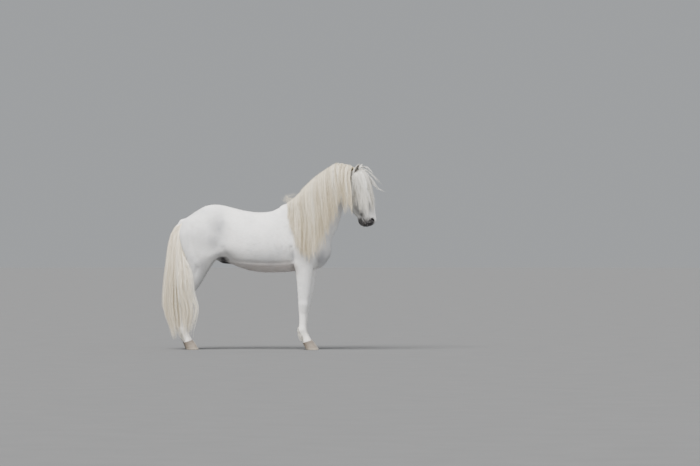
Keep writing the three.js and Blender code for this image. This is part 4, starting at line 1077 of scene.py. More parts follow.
class StrandNodes:
    """Geometry Nodes that give every line a closed, flattened, tapering solid."""

    NAME = "strand_solids"
    SOCKETS = (("Lines", "Geometry", "INPUT"), ("Sides", "Int", "INPUT"), ("Flatness", "Float", "INPUT"),
               ("Finish", "Material", "INPUT"), ("Solids", "Geometry", "OUTPUT"))
    KINDS = {
        "given": "NodeGroupInput", "curve": "GeometryNodeMeshToCurve",
        "size": "GeometryNodeInputNamedAttribute", "circle": "GeometryNodeCurvePrimitiveCircle",
        "flat": "ShaderNodeCombineXYZ",
        "squeeze": "GeometryNodeTransform", "solid": "GeometryNodeCurveToMesh",
        "shade": "GeometryNodeSetShadeSmooth", "whole": "GeometryNodeRealizeInstances",
        "finish": "GeometryNodeSetMaterial", "made": "NodeGroupOutput",
    }
    VALUES = (("size", "Name", "thickness"), ("circle", "Radius", 1.0), ("flat", "X", 1.0),
              ("flat", "Z", 1.0), ("solid", "Fill Caps", True))
    LINKS = (("given", "Lines", "curve", "Mesh"), ("curve", "Curve", "solid", "Curve"),
             ("given", "Sides", "circle", "Resolution"), ("circle", "Curve", "squeeze", "Geometry"),
             ("given", "Flatness", "flat", "Y"), ("flat", "Vector", "squeeze", "Scale"),
             ("squeeze", "Geometry", "solid", "Profile Curve"), ("size", "Attribute", "solid", "Scale"),
             ("solid", "Mesh", "shade", "Geometry"), ("shade", "Geometry", "whole", "Geometry"),
             ("whole", "Geometry", "finish", "Geometry"), ("given", "Finish", "finish", "Material"),
             ("finish", "Geometry", "made", "Solids"))

    def tree(self) -> NodeTree:
        """Builds the node tree once and hands it out."""
        if self.NAME in bpy.data.node_groups:
            return bpy.data.node_groups[self.NAME]
        group = bpy.data.node_groups.new(self.NAME, "GeometryNodeTree")
        for name, kind, way in self.SOCKETS:
            group.interface.new_socket(name=name, in_out=way, socket_type="NodeSocket" + kind)
        nodes = {name: group.nodes.new(kind) for name, kind in self.KINDS.items()}
        nodes["size"].data_type = "FLOAT"
        for name, socket, value in self.VALUES:
            nodes[name].inputs[socket].default_value = value
        for source, leaving, target, entering in self.LINKS:
            group.links.new(nodes[source].outputs[leaving], nodes[target].inputs[entering])
        return group

    def solids(self, name: str, strands: Strands, material: Material, sides: int = 3,
               flatness: float = 0.6, blended: bool = False) -> Object:
        """Turns strands into one plain mesh.

        Args:
            name: the piece's name.
            strands: the lines, in the source's millimetres.
            material: the finish.
            sides: how many sides a strand has.
            flatness: its thickness over its width.
            blended: whether strands are shaded as the skin that they lie on.

        Returns:
            The finished object.
        """
        count, points = strands.paths.shape[:2]
        mesh = bpy.data.meshes.new(name)
        mesh.vertices.add(count * points)
        mesh.vertices.foreach_set("co", to_metres(strands.paths.reshape(-1, 3)).astype(np.float32).ravel())
        first = (np.arange(count)[:, None] * points + np.arange(points - 1)[None, :]).ravel()
        mesh.edges.add(len(first))
        mesh.edges.foreach_set("vertices", np.stack([first, first + 1], 1).astype(np.int32).ravel())
        obj = placed(name, mesh)
        store(obj, "thickness", strands.thickness.ravel() * MM)
        store(obj, "tint", np.repeat(strands.tint, points))
        store(obj, "along", np.tile(np.linspace(0, 1, points), count))
        for axis, letter in enumerate("uv"):
            store(obj, "root_" + letter, np.repeat(strands.roots[:, axis], points))
        if blended:
            facing = obj.data.attributes.new("facing", "FLOAT_VECTOR", "POINT")
            outward = np.repeat(strands.facing, points, axis=0)
            facing.data.foreach_set("vector", outward.astype(np.float32).ravel())
        modifier = obj.modifiers.new(self.NAME, "NODES")
        modifier.node_group = self.tree()
        values = {"Sides": sides, "Flatness": flatness, "Finish": material}
        for item in modifier.node_group.interface.items_tree:
            if item.in_out == "INPUT" and item.name in values:
                modifier[item.identifier] = values[item.name]
        evaluated = obj.evaluated_get(bpy.context.evaluated_depsgraph_get())
        plain = bpy.data.meshes.new_from_object(evaluated)
        obj.modifiers.clear()
        obj.data = plain
        bpy.data.meshes.remove(mesh)
        plain.name = name
        if not plain.materials:
            plain.materials.append(material)
        self.patch(obj, sides)
        if blended:
            normals = np.empty(len(plain.vertices) * 3, np.float32)
            plain.attributes["facing"].data.foreach_get("vector", normals)
            plain.normals_split_custom_set_from_vertices(normals.reshape(-1, 3).tolist())
            plain.attributes.remove(plain.attributes["facing"])
        return obj

    @staticmethod
    def patch(obj: Object, sides: int, size: float = 0.003) -> None:
        """Gives each strand a small patch of the unwrap at its root's place.

        Args:
            obj: the strands' mesh.
            sides: how many sides a strand has.
            size: the patch's size on the unwrap.
        """
        mesh = obj.data
        corners = corner_indices(mesh)
        read = {}
        for name in ("root_u", "root_v", "along"):
            read[name] = np.empty(len(mesh.vertices), np.float32)
            mesh.attributes[name].data.foreach_get("value", read[name])
        round_share = (corners % sides) / sides
        u = read["root_u"][corners] + size * (read["along"][corners] - 0.5)
        v = read["root_v"][corners] + size * (round_share - 0.4)
        store_map(obj, np.clip(np.stack([u, v], 1), 0, 1))
        for name in ("root_u", "root_v", "thickness"):
            if name in mesh.attributes:
                mesh.attributes.remove(mesh.attributes[name])


@dataclass
class Groom:
    """Hair that leaves the flesh, bends to its weight and rests on the flesh below."""

    flesh: Flesh
    stride: float = 16.0
    sunk_steps: int = 3

    def drape(self, start: Array, leaving: Array, length: Array, pull: Array,
              bend: Array, lift: Array | float, hold: float) -> tuple[Array, Array]:
        """Lets strands fall from their roots.

        Args:
            start: roots.
            leaving: first directions.
            length: lengths in millimetres.
            pull: directions that each strand turns to.
            bend: how fast it turns.
            lift: how far it keeps off the flesh.
            hold: how deep it may stay in the flesh near its root.

        Returns:
            The strands' points by step, and how many steps each has.
        """
        steps = int(np.ceil(length.max() / self.stride)) + 1
        paths = np.empty((len(start), steps + 1, 3))
        paths[:, 0] = start
        p, heading = start.copy(), unit(leaving)
        for i in range(steps):
            heading = unit(heading + (pull - heading) * bend[:, None])
            p = self.flesh.kept_off(p + heading * self.stride, -hold if i < self.sunk_steps else lift)
            paths[:, i + 1] = p
        return paths, length / self.stride

    def frames(self, guides: Array, facing: Array | None = None) -> tuple[Array, Array]:
        """The way across and the way out at every point of every guide."""
        tangent = unit(np.gradient(guides, axis=1))
        if facing is None:
            facing = self.flesh.outward(guides.reshape(-1, 3), 6.0).reshape(guides.shape)
        across = unit(np.cross(tangent, facing))
        return across, unit(np.cross(across, tangent))

    def locks(self, guides: Array, each: int, width: float, thick: float, hair: Pair,
              rng: np.random.Generator, facing: Array | None = None, wave: float = 5.0,
              gather: float = 0.75, root_share: float = 0.45, loose: float = 0.06) -> Strands:
        """Fills the lock about each guide with strands that gather to its tip.

        Args:
            guides: lock by point by axis.
            each: strands a lock.
            width: the lock's width at its fullest.
            thick: its thickness there.
            hair: a strand's half width at its fullest, least and most.
            rng: seeded random numbers.
            facing: the way out at each point, if it isn't the flesh's own.
            wave: how far strands wander.
            gather: how much narrower the lock is at its tip.
            root_share: the lock's width at its root over its fullest.
            loose: share of strands that leave the lock.

        Returns:
            The strands, with roots left at zero.
        """
        count, points = guides.shape[:2]
        across, out = self.frames(guides, facing)
        t = np.linspace(0, 1, points)[None, :]
        total = count * each
        owner = np.repeat(np.arange(count), each)
        turn, reach = rng.uniform(0, 2 * np.pi, total), np.sqrt(rng.uniform(0, 1, total))
        a, b = np.cos(turn) * reach, np.sin(turn) * reach
        full = (root_share + (1 - root_share) * step(0, 0.3, t)) * (1 - gather * step(0.35, 1.0, t))
        stray = np.where(rng.uniform(0, 1, total) < loose, rng.uniform(1.3, 2.4, total), 1.0)
        full = full * (1 + (stray[:, None] - 1) * t)
        beats = rng.uniform(0.8, 2.2, (count, 1))[owner] + rng.uniform(-0.2, 0.2, (total, 1))
        phase = rng.uniform(0, 2 * np.pi, (count, 1))[owner] + rng.uniform(-0.7, 0.7, (total, 1))
        swing = wave * t * np.sin(2 * np.pi * beats * t + phase)
        own = rng.normal(0, 1, (total, 1)) * wave * 0.35
        own = own * np.sin(2 * np.pi * rng.uniform(1.5, 4, (total, 1)) * t)
        cut = rng.uniform(0.86, 1.0, total)
        where = t * cut[:, None] * (points - 1)
        low = np.clip(where.astype(int), 0, points - 2)
        part = (where - low)[..., None]
        rows = owner[:, None]

        def blend(grid: Array) -> Array:
            """A guide's values at each strand's own places."""
            return grid[rows, low] * (1 - part) + grid[rows, low + 1] * part

        side = (a[:, None] * width / 2 * full + swing + own)[..., None]
        high = (b[:, None] * thick / 2 * full + 0.3 * own)[..., None]
        paths = blend(guides) + blend(across) * side + blend(out) * high
        half = rng.uniform(*hair, total)[:, None] * (0.55 + 0.45 * step(0, 0.15, t)) * (1 - 0.93 * t**2.2)
        tint = np.clip(rng.normal(0.5, 0.2, count)[owner] + rng.normal(0, 0.15, total), 0, 1)
        return Strands(paths, half, tint, np.zeros((total, 2)))


@dataclass
class Mane:
    """The mane: long locks over the right side of the neck, short ones on its left, and a full crest."""

    flesh: Flesh
    groom: Groom
    first: float = 206.0
    last: float = 868.0
    shingle: float = 34.0
    crest_loft: float = 58.0
    length_rows: tuple = ((190, 300), (250, 480), (330, 655), (400, 765), (500, 800), (590, 800), (655, 765),
                          (690, 705), (745, 625), (800, 565), (870, 575))

    def crest(self, along: Array) -> Array:
        """Points of the crest at each way along the neck."""
        up, down = self.flesh.neck.curve(along)[:2]
        inside = NECK_ORIGIN + along[:, None] * NECK_ALONG + ((up + down) / 2)[:, None] * NECK_OUT
        return self.flesh.cast(inside, np.broadcast_to(NECK_OUT, inside.shape))

    def guides(self, side: Side, count: int, share: float, points: int, rng: np.random.Generator,
               layer: Pair = (0.0, 1.0)) -> tuple[Array, Array]:
        """Guides of the locks of one side, and their places along the crest from 0 to 1.

        Args:
            side: the side of the horse.
            count: how many locks.
            share: their length over the table's.
            points: points a guide.
            rng: seeded random numbers.
            layer: how high they lie over the flesh, from 0 to 1.

        Returns:
            The guides and the places.
        """
        t = (np.arange(count) + rng.uniform(-0.45, 0.45, count)) / (count - 1)
        t = np.clip(t, 0, 1)
        along = self.first + (self.last - self.first) * t
        start = self.crest(along) - NECK_OUT * 16
        start[:, 1] += rng.uniform(-7, 7, count) - side.value * 3
        leaving = NECK_OUT * (0.3 + 0.5 * t)[:, None] + np.array([0.2, side.value * 0.7, 0.5])
        lean = 0.05 + rng.uniform(-0.03, 0.03, count) + 0.1 * t**3
        pull = unit(np.stack([lean, np.full(count, side.value * 0.14), np.full(count, -1.0)], 1))
        length = Curve(self.length_rows)(along)[0] * share * rng.uniform(0.82, 1.12, count)
        length = length * (1 - (1 - step(0.0, 0.14, t)) * rng.uniform(0.1, 0.75, count))
        paths, steps = self.groom.drape(start, leaving, length, pull, 0.24 - 0.09 * t, 10.0, 10.0)
        raise_by = rng.uniform(*layer, count) * self.shingle
        out = self.flesh.outward(paths.reshape(-1, 3), 6.0).reshape(paths.shape)
        number = np.arange(paths.shape[1])
        paths = paths + out * np.clip((number - 1) / 5, 0, 1)[None, :, None] * raise_by[:, None, None]
        if side is Side.RIGHT:
            loft = self.crest_loft * t**2 * rng.uniform(0.55, 1.05, count)
            fall = np.exp(-number / 5) * (number >= 2)
            paths = softened(paths + NECK_OUT * (loft[:, None] * fall[None, :])[..., None])
        return resample(paths, steps, points), t

    def strands(self, side: Side, count: int, each: int, share: float, width: float, hair: Pair,
                seed: int, layer: Pair = (0.0, 1.0), points: int = 11) -> Strands:
        """Strands of one lot of locks, with their roots' places.

        Args:
            side: the side of the horse.
            count: how many locks.
            each: strands a lock.
            share: their length over the table's.
            width: a lock's width.
            hair: a strand's half width, least and most.
            seed: seed of the random draws.
            layer: how high they lie over the flesh, from 0 to 1.
            points: points a strand.

        Returns:
            The strands.
        """
        rng = np.random.default_rng(seed)
        guides, t = self.guides(side, count, share, points, rng, layer)
        strands = self.groom.locks(guides, each, width, 15.0, hair, rng, wave=11.0, gather=0.78)
        owner = np.repeat(np.arange(count), each)
        u = t[owner] * 0.96 + 0.02
        v = np.clip(0.5 + side.value * 0.22 + rng.uniform(-0.2, 0.2, len(owner)), 0.01, 0.99)
        strands.roots = np.stack([u, v], 1)
        return strands

    def crest_hairs(self, count: int, seed: int, points: int = 11) -> Strands:
        """Short hairs that stand off the crest and bend over to either side.

        Args:
            count: how many hairs.
            seed: seed of the random draws.
            points: points a strand.

        Returns:
            The hairs.
        """
        rng = np.random.default_rng(seed)
        t = rng.uniform(0, 1, count) ** 0.8
        along = self.first + 10 + (self.last - self.first - 4) * t
        start = self.crest(along) - NECK_OUT * 6
        start[:, 1] += rng.uniform(-16, 12, count)
        loft = self.crest_loft * t**2 * rng.uniform(0.6, 1.0, count)
        start = start + NECK_OUT * loft[:, None]
        length = rng.uniform(26, 74, count) * rng.choice((1.0, 1.0, 1.0, 1.6), count)
        side = rng.uniform(-0.9, 0.5, count)
        leaving = NECK_OUT * rng.uniform(0.4, 1.0, (count, 1))
        leaving = leaving + NECK_ALONG * rng.uniform(-0.8, 0.3, (count, 1))
        leaving = unit(leaving + np.stack([np.zeros(count), side, np.zeros(count)], 1))
        fall = unit(np.stack([rng.uniform(-0.2, 0.3, count), side * 1.2, np.full(count, -1.0)], 1))
        s = np.linspace(0, 1, points)[None, :, None]
        reach = length[:, None, None]
        wave = np.sin(s * rng.uniform(3, 9, (count, 1, 1)) + rng.uniform(0, 6, (count, 1, 1)))
        wave = wave * s * reach * 0.06
        paths = start[:, None] + reach * (leaving[:, None] * (s - 0.45 * s**2) + fall[:, None] * 0.55 * s**2)
        paths = paths + wave * rng.normal(0, 1, (count, 1, 3))
        half = rng.uniform(0.55, 1.0, (count, 1)) * (1 - 0.9 * s[0, :, 0][None] ** 2)
        tint = np.clip(rng.normal(0.6, 0.16, count), 0, 1)
        return Strands(paths, half, tint, np.stack([t * 0.96 + 0.02, rng.uniform(0.45, 0.55, count)], 1))

    def curls(self, count: int, seed: int, points: int = 11) -> Strands:
        """Hairs that the wind curls up where the mane begins.

        Args:
            count: how many hairs.
            seed: seed of the random draws.
            points: points a strand.

        Returns:
            The hairs.
        """
        rng = np.random.default_rng(seed)
        along = self.first + rng.uniform(-6, 66, count)
        start = self.crest(along) - NECK_OUT * 5
        start[:, 1] += rng.uniform(-26, 4, count)
        height, back = rng.uniform(40, 112, (count, 1, 1)), rng.uniform(16, 92, (count, 1, 1))
        s = np.linspace(0, 1, points)[None, :, None]
        bow = np.sin(s * np.pi * rng.uniform(0.8, 1.5, (count, 1, 1)))
        curl = s**1.5 * rng.uniform(3.2, 5.6, (count, 1, 1))
        paths = start[:, None] + UP * height * (s - 0.5 * s**2) + np.array([-1.0, 0, 0]) * back * bow
        tip = rng.uniform(8, 20, (count, 1, 1)) * s
        wound = np.sin(curl) * np.array([1.0, 0, 0]) + (1 - np.cos(curl)) * np.array([0, -0.3, 0.6])
        paths = paths + tip * wound
        half = rng.uniform(0.6, 1.1, (count, 1)) * (1 - 0.9 * s[0, :, 0][None] ** 2)
        roots = np.stack([rng.uniform(0.02, 0.12, count), rng.uniform(0.4, 0.6, count)], 1)
        return Strands(paths, half, np.clip(rng.normal(0.7, 0.15, count), 0, 1), roots)


@dataclass
class Forelock:
    """The forelock: it falls over the face and most of all over the right eye and cheek."""

    flesh: Flesh
    groom: Groom
    last: float = 8.0
    rows: tuple = ((0, -36, -1.3, -0.25, -0.12, 330), (1, -34, -1.3, 0.0, -0.02, 390),
                   (2, -30, -1.2, 0.3, 0.11, 440), (3, -26, -1.0, 0.6, 0.17, 505),
                   (4, -20, -0.7, 0.9, 0.2, 515), (5, -12, -0.4, 1.0, 0.2, 490),
                   (6, -3, -0.1, 1.0, 0.18, 420), (7, 10, 0.3, 1.0, 0.16, 340), (8, 24, 0.8, 0.8, 0.15, 270))
    blown_locks: int = 4
    blown: tuple = (((30, 0, 30), (75, -8, 34), (120, -14, 6), (165, -20, -46)),
                    ((40, -6, 10), (95, -14, -10), (160, -20, -66), (236, -30, -150)),
                    ((60, -10, -20), (125, -16, -100), (196, -24, -186), (296, -34, -232)),
                    ((50, -14, 4), (110, -20, -60), (168, -28, -130), (214, -36, -214)))

    def strands(self, count: int, each: int, width: float, hair: Pair, seed: int,
                points: int = 12) -> Strands:
        """Strands of the locks that lie on the face.

        Args:
            count: how many locks.
            each: strands a lock.
            width: a lock's width.
            hair: a strand's half width, least and most.
            seed: seed of the random draws.
            points: points a strand.

        Returns:
            The strands.
        """
        rng = np.random.default_rng(seed)
        place = np.sort(rng.uniform(0, self.last, count) ** 1.12 / self.last**0.12)
        side, to_side, rise, lean, length = Curve(self.rows)(place)
        high = step(2.0, 4.0, place) * rng.uniform(0, 1, count)
        inside = from_head(34.0 - 14.0 * high, side * 0.4, 0.0)
        out = head_direction(-0.55 - 0.3 * high, side * 0.006, 0.83)
        start = self.flesh.cast(inside, out) - out * 12
        leaving = head_direction(0.3 - 1.2 * high, to_side * (1 - 0.4 * high), rise + 0.5 * high)
        pull = unit(np.stack([lean + rng.uniform(-0.04, 0.04, count), np.clip(to_side, -0.6, 0.6) * 0.22,
                              np.full(count, -1.0)], 1))
        lift = rng.uniform(5, 24, count)
        paths, steps = self.groom.drape(start, leaving, length * rng.uniform(0.72, 1.13, count), pull,
                                        np.full(count, 0.22), lift, 10.0)
        guides = resample(paths, steps, points)
        strands = self.groom.locks(guides, each, width, 11.0, hair, rng, wave=13.0, gather=0.86, loose=0.12)
        owner = np.repeat(np.arange(count), each)
        u = 0.02 + 0.96 * place[owner] / self.last
        strands.roots = np.stack([u, rng.uniform(0.3, 0.7, len(owner))], 1)
        return strands

    def flyaway(self, each: int, seed: int, points: int = 12) -> Strands:
        """The few strands that the wind lifts off the face.

        Args:
            each: strands a lock.
            seed: seed of the random draws.
            points: points a strand.

        Returns:
            The strands.
        """
        rng = np.random.default_rng(seed)
        out = head_direction(-0.4, 0.0, 0.9)
        start = self.flesh.cast(from_head(34.0, 0.0, 0.0)[None], out[None])[0]
        guides = []
        for way in self.blown:
            for _ in range(self.blown_locks):
                far = 1 + rng.uniform(-0.12, 0.03)
                steps = [start + np.array(p) * far + rng.normal(0, 2.0, 3) for p in way]
                guides.append(chain((start - out * 12, *steps), points))
        guides = np.array(guides)
        facing = np.broadcast_to(np.array([0.3, -0.9, 0.2]), guides.shape)
        strands = self.groom.locks(guides, each, 11.0, 6.0, (0.5, 0.9), rng, facing, wave=5.0, loose=0.3)
        count = len(strands.tint)
        strands.roots = np.stack([rng.uniform(0.2, 0.8, count), np.full(count, 0.85)], 1)
        return strands


@dataclass
class Tail:
    """The tail: hair from the whole dock, full down to the fetlocks, hanging a little to the right."""

    flesh: Flesh
    groom: Groom
    rows: tuple = ((130, -815, 140, 180, 25), (265, -805, 185, 190, 36), (346, -797, 238, 198, 44),
                   (459, -795, 252, 201, 50), (588, -795, 243, 199, 56), (750, -800, 221, 188, 62),
                   (847, -815, 194, 165, 66), (944, -830, 168, 130, 66), (1074, -848, 129, 80, 60),
                   (1170, -852, 98, 52, 48), (1243, -850, 50, 30, 30), (1268, -848, 26, 20, 20))
    steps: int = 26

    def strands(self, count: int, each: int, width: float, hair: Pair, share: Pair,
                top: Pair, seed: int, points: int = 13,
                turns: Pair = (-86.0, 94.0)) -> Strands:
        """Strands of the locks at some depth of the tail, between two angles from its rear.

        Args:
            count: how many locks.
            each: strands a lock.
            width: a lock's width.
            hair: a strand's half width, least and most.
            share: how far out they hang, least and most.
            top: the heights that they leave the dock at.
            seed: seed of the random draws.
            points: points a strand.
            turns: the two angles, in degrees.

        Returns:
            The strands.
        """
        rng = np.random.default_rng(seed)
        section = Curve(self.rows)
        share_round = (np.arange(count) + rng.uniform(-0.5, 0.5, count)) / count
        angle = np.radians(turns[0] + (turns[1] - turns[0]) * share_round)
        rng.shuffle(angle)
        depth = rng.uniform(*share, count)
        start = top[1] - (top[1] - top[0]) * rng.uniform(0, 1, count) ** 1.5
        end = 90 + rng.uniform(0, 1, count) ** 2 * 150 + np.where(angle < -0.5, 60, 0)
        dock = chain(tuple(p[:3] for p in Skin.dock), 60)
        root = dock[np.clip(((1246 - start) / 330 * 56).astype(int) + 3, 0, 59)]
        steps = self.steps
        paths = np.empty((count, steps + 1, 3))
        paths[:, 0] = root
        for k in range(steps):
            z = (start - 8) + (end - start + 8) * (k / (steps - 1)) ** 1.15
            middle, rear, near, far = section(z)
            across = np.where(angle > 0, near, far)
            turn = angle + 0.26 * step(590, 380, z) * step(0.8, 1.5, angle)
            p = np.stack([middle - rear * depth * np.cos(turn), -across * depth * np.sin(turn), z], 1)
            paths[:, k + 1] = self.flesh.kept_off(p, 9 + 6 * depth)
        for _ in range(2):
            paths = softened(paths)
        guides = resample(paths, np.full(count, float(steps)), points)
        middle = section(guides[..., 2])[0]
        facing = np.stack([guides[..., 0] - middle, guides[..., 1], np.zeros_like(middle)], -1)
        strands = self.groom.locks(guides, each, width, 18.0, hair, rng, unit(facing), wave=8.0, gather=0.6,
                                   root_share=0.12)
        owner = np.repeat(np.arange(count), each)
        u = 0.02 + 0.96 * (angle[owner] + 1.6) / 3.3
        v = np.clip((start[owner] - 900) / 380 + rng.uniform(-0.03, 0.03, len(owner)), 0.01, 0.99)
        strands.roots = np.stack([np.clip(u, 0, 1), v], 1)
        return strands


@dataclass
class Feathers:
    """The longer hair behind the fetlocks."""

    flesh: Flesh
    groom: Groom

    def strands(self, leg: Leg, side: Side, count: int, each: int, seed: int, points: int = 7) -> Strands:
        """Strands behind one fetlock, from the tendons down to the heels.

        Args:
            leg: the pair of legs.
            side: which one of them.
            count: how many locks.
            each: strands a lock.
            seed: seed of the random draws.
            points: points a strand.

        Returns:
            The strands.
        """
        rng = np.random.default_rng(seed)
        z = rng.uniform(112, 226, count)
        middle = leg.middle(z, side)
        spread = 58 * bump(z, 150, 50) + 16
        turn = np.radians(180 + rng.uniform(-1, 1, count) * spread)
        out = np.stack([np.cos(turn), np.sin(turn), np.zeros(count)], 1)
        root = self.flesh.cast(middle, out)
        length = rng.uniform(40, 78, count) * (0.5 + 0.5 * bump(z, 165, 45))
        drop = np.linspace(0, 1, points)[None, :, None]
        swell = np.sin(np.pi * np.clip(drop * 0.72 + 0.06, 0, 1)) * rng.uniform(1, 8, (count, 1, 1))
        fall = -UP * length[:, None, None] * drop
        guides = root[:, None] - out[:, None] * 5 + out[:, None] * (swell + 5 * np.minimum(drop * 4, 1))
        guides = guides + fall + np.array([12.0, 0, 0]) * drop**2
        for k in range(1, points):
            guides[:, k] = self.flesh.kept_off(guides[:, k], 3)
        facing = np.broadcast_to(out[:, None], guides.shape)
        strands = self.groom.locks(guides, each, 20.0, 7.0, (0.6, 1.0), rng, facing, wave=1.2, gather=0.4)
        owner = np.repeat(np.arange(count), each)
        strands.roots = np.stack([(z[owner] - 100) / 180, (turn[owner] - 1.4) / 3.6], 1).clip(0.01, 0.99)
        return strands


@dataclass
class Coat:
    """Short tufts that lie along the body and break its outline."""

    skin: Skin
    unwrap: Unwrap
    count: int = 8800
    lowest: float = 84.0
    eye_gap: float = 9.0
    nostril_gap: float = 30.0

    def lie(self, points: Array, out: Array) -> Array:
        """The way the coat lies at each point of the skin.

        Args:
            points: places on the skin.
            out: the way out there.

        Returns:
            Unit directions along the skin.
        """
        x, y, z = points.T
        way = np.zeros_like(points)
        way[:] = (-0.9, 0, -0.45)
        fore = step(150, 420, (points - NECK_ORIGIN) @ NECK_ALONG)[:, None]
        way = way * (1 - fore) + (-NECK_ALONG + np.array([0.1, 0, -0.35])) * fore
        chest = (step(420, 560, x) * step(1180, 1050, z))[:, None]
        way = way * (1 - chest) + np.array([0.0, 0, -1.0]) * chest
        shank = step(820, 640, z)[:, None]
        way = way * (1 - shank) + np.array([-0.1, 0, -1.0]) * shank
        face = (on_face(points) * step(-20, 40, to_head(points)[0]))[:, None]
        way = way * (1 - face) + head_direction(0.9, 0.0, -0.25) * face
        way[:, 1] += np.sign(y) * 0.12 * (1 - shank[:, 0])
        way = way - out * np.sum(way * out, axis=1, keepdims=True)
        return unit(way)

    def long(self, points: Array) -> Array:
        """How long the coat is at each point, in millimetres."""
        x, y, z = points.T
        down, _, out = to_head(points)
        face = on_face(points) * step(0, 60, down)
        jaw = face * step(-60, -110, out) * step(470, 300, down)
        belly = step(900, 800, z) * step(-380, -250, x) * step(420, 300, x) * step(160, 90, np.abs(y))
        chest = step(470, 560, x) * bump(z, 960, 120)
        throat = step(420, 520, x) * step(1100, 1180, z) * (1 - face) * step(90, 40, np.abs(y))
        thigh = step(-700, -800, x) * bump(z, 850, 220)
        cannon = step(460, 380, z) * step(200, 260, z)
        length = 19 + 14 * belly + 12 * chest + 14 * throat + 9 * thigh - 6 * cannon
        return length * (1 - face * 0.52) + 16 * jaw

    def strands(self, obj: Object, seed: int) -> Strands:
        """Places tufts over the skin, more of them where the coat is long or the form turns away.

        Args:
            obj: the skin.
            seed: seed of the random draws.

        Returns:
            The tufts.
        """
        rng, count = np.random.default_rng(seed), self.count
        mesh = obj.data
        mesh.calc_loop_triangles()
        corners = np.empty(len(mesh.loop_triangles) * 3, np.int32)
        mesh.loop_triangles.foreach_get("vertices", corners)
        points = vertex_points(obj)
        a, b, c = (points[corners[n::3]] for n in range(3))
        area = np.linalg.norm(np.cross(b - a, c - a), axis=1)
        middle = (a + b + c) / 3
        down, across, ahead = to_head(middle)
        face = on_face(middle) * step(0, 60, down)
        weight = area * (1 + 2.6 * face) * (middle[:, 2] >= self.lowest)
        for side in Side:
            weight *= np.linalg.norm(middle - self.skin.eye_middle(side), axis=1) > EYE_RADIUS + self.eye_gap
        nostril = np.hypot(down - self.skin.nostril_at[0], ahead - self.skin.nostril_at[1]) < self.nostril_gap
        weight *= ~(nostril & (face > 0.5) & (np.abs(across) > 30))
        pick = rng.choice(len(area), count, p=weight / weight.sum())
        share = rng.dirichlet((1, 1, 1), count)
        root = a[pick] * share[:, :1] + b[pick] * share[:, 1:2] + c[pick] * share[:, 2:]
        out = unit(np.cross(b[pick] - a[pick], c[pick] - a[pick]))
        length = self.long(root) * rng.uniform(0.7, 1.25, count)
        way = unit(self.lie(root, out) + rng.normal(0, 0.13, (count, 3)))
        lift = rng.uniform(0.04, 0.12, count)[:, None] + 0.07 * (length[:, None] > 30)
        lift = lift * (1 - 0.6 * np.maximum(face[pick], step(560, 420, root[:, 2])))[:, None]
        paths = np.empty((count, 3, 3))
        for k, (go, rise) in enumerate(((0.0, -0.9), (0.45, 0.10), (1.0, 1.0))):
            p = root + way * (length * go)[:, None]
            paths[:, k] = p + out * (rise * (lift * length[:, None] if k else 1.2) + (1.0 if k else 0))
        low = self.skin.distance(paths[:, 2])
        paths[:, 2] += out * np.clip(0.8 - low, 0, 12)[:, None]
        half = (0.85 + 0.6 * (length > 28)) * rng.uniform(0.6, 1.15, count) * (1 - 0.35 * face[pick])
        thickness = half[:, None] * np.array([0.9, 1.0, 0.06])
        roots = self.unwrap.corners(root, root)
        return Strands(paths, thickness, rng.uniform(0, 1, count), roots, out)


@dataclass
class Whiskers:
    """Long single hairs on the lips and chin, and the lashes."""

    skin: Skin
    count: int = 130
    lashes: int = 46

    def strands(self, seed: int, points: int = 6) -> Strands:
        """Whiskers of the muzzle and lashes of both upper lids.

        Args:
            seed: seed of the random draws.
            points: points a strand.

        Returns:
            The hairs.
        """
        rng, count = np.random.default_rng(seed), self.count
        along = rng.uniform(470, 566, count)
        turn = rng.uniform(0.25 * np.pi, np.pi, count) * rng.choice((-1, 1), count)
        inside = from_head(along, 0.0, -8.0)
        out = head_direction(0.0, np.sin(turn), np.cos(turn))
        root = self.skin.flesh.cast(inside, out) - out * 2
        length = rng.uniform(14, 42, count)[:, None, None]
        t = np.linspace(0, 1, points)[None, :, None]
        way = unit(out + head_direction(0.9, 0, -0.2) * 0.7 + rng.normal(0, 0.15, (count, 3)))
        muzzle = root[:, None] + way[:, None] * length * t - UP * (t**2) * length * 0.25
        lashes = []
        for side in Side:
            middle, gaze = self.skin.eye_middle(side), self.skin.gaze(side)
            forward = head_direction(1, 0, -0.25)
            above = unit(np.cross(forward, gaze) * side.value)
            for _ in range(self.lashes):
                swing = rng.uniform(-0.95, 0.95)
                start = unit(gaze * 0.62 + above * 0.62 + forward * math.sin(swing) * 0.9)
                start = start * (EYE_RADIUS + 2.2)
                leave = unit(gaze * 1.0 + forward * math.sin(swing) * 0.5 - above * 0.1)
                reach = rng.uniform(13, 21)
                tt = np.linspace(0, 1, points)[:, None]
                lashes.append(middle + start + leave * reach * tt - UP * reach * 0.45 * tt**1.6)
        paths = np.concatenate([muzzle, np.array(lashes)])
        half = np.full((len(paths), 1), 0.32) * (1 - 0.85 * np.linspace(0, 1, points)[None, :])
        roots = rng.uniform(0.02, 0.98, (len(paths), 2))
        return Strands(paths, half, rng.uniform(0, 1, len(paths)), roots)


def tube_faces(rings: int, around: int) -> Array:
    """Four-sided faces between rings of equal count."""
    r, j = np.meshgrid(np.arange(rings - 1), np.arange(around), indexing="ij")
    a = r * around + j
    b = r * around + (j + 1) % around
    return np.stack([a, b, b + around, a + around], -1).reshape(-1, 4)


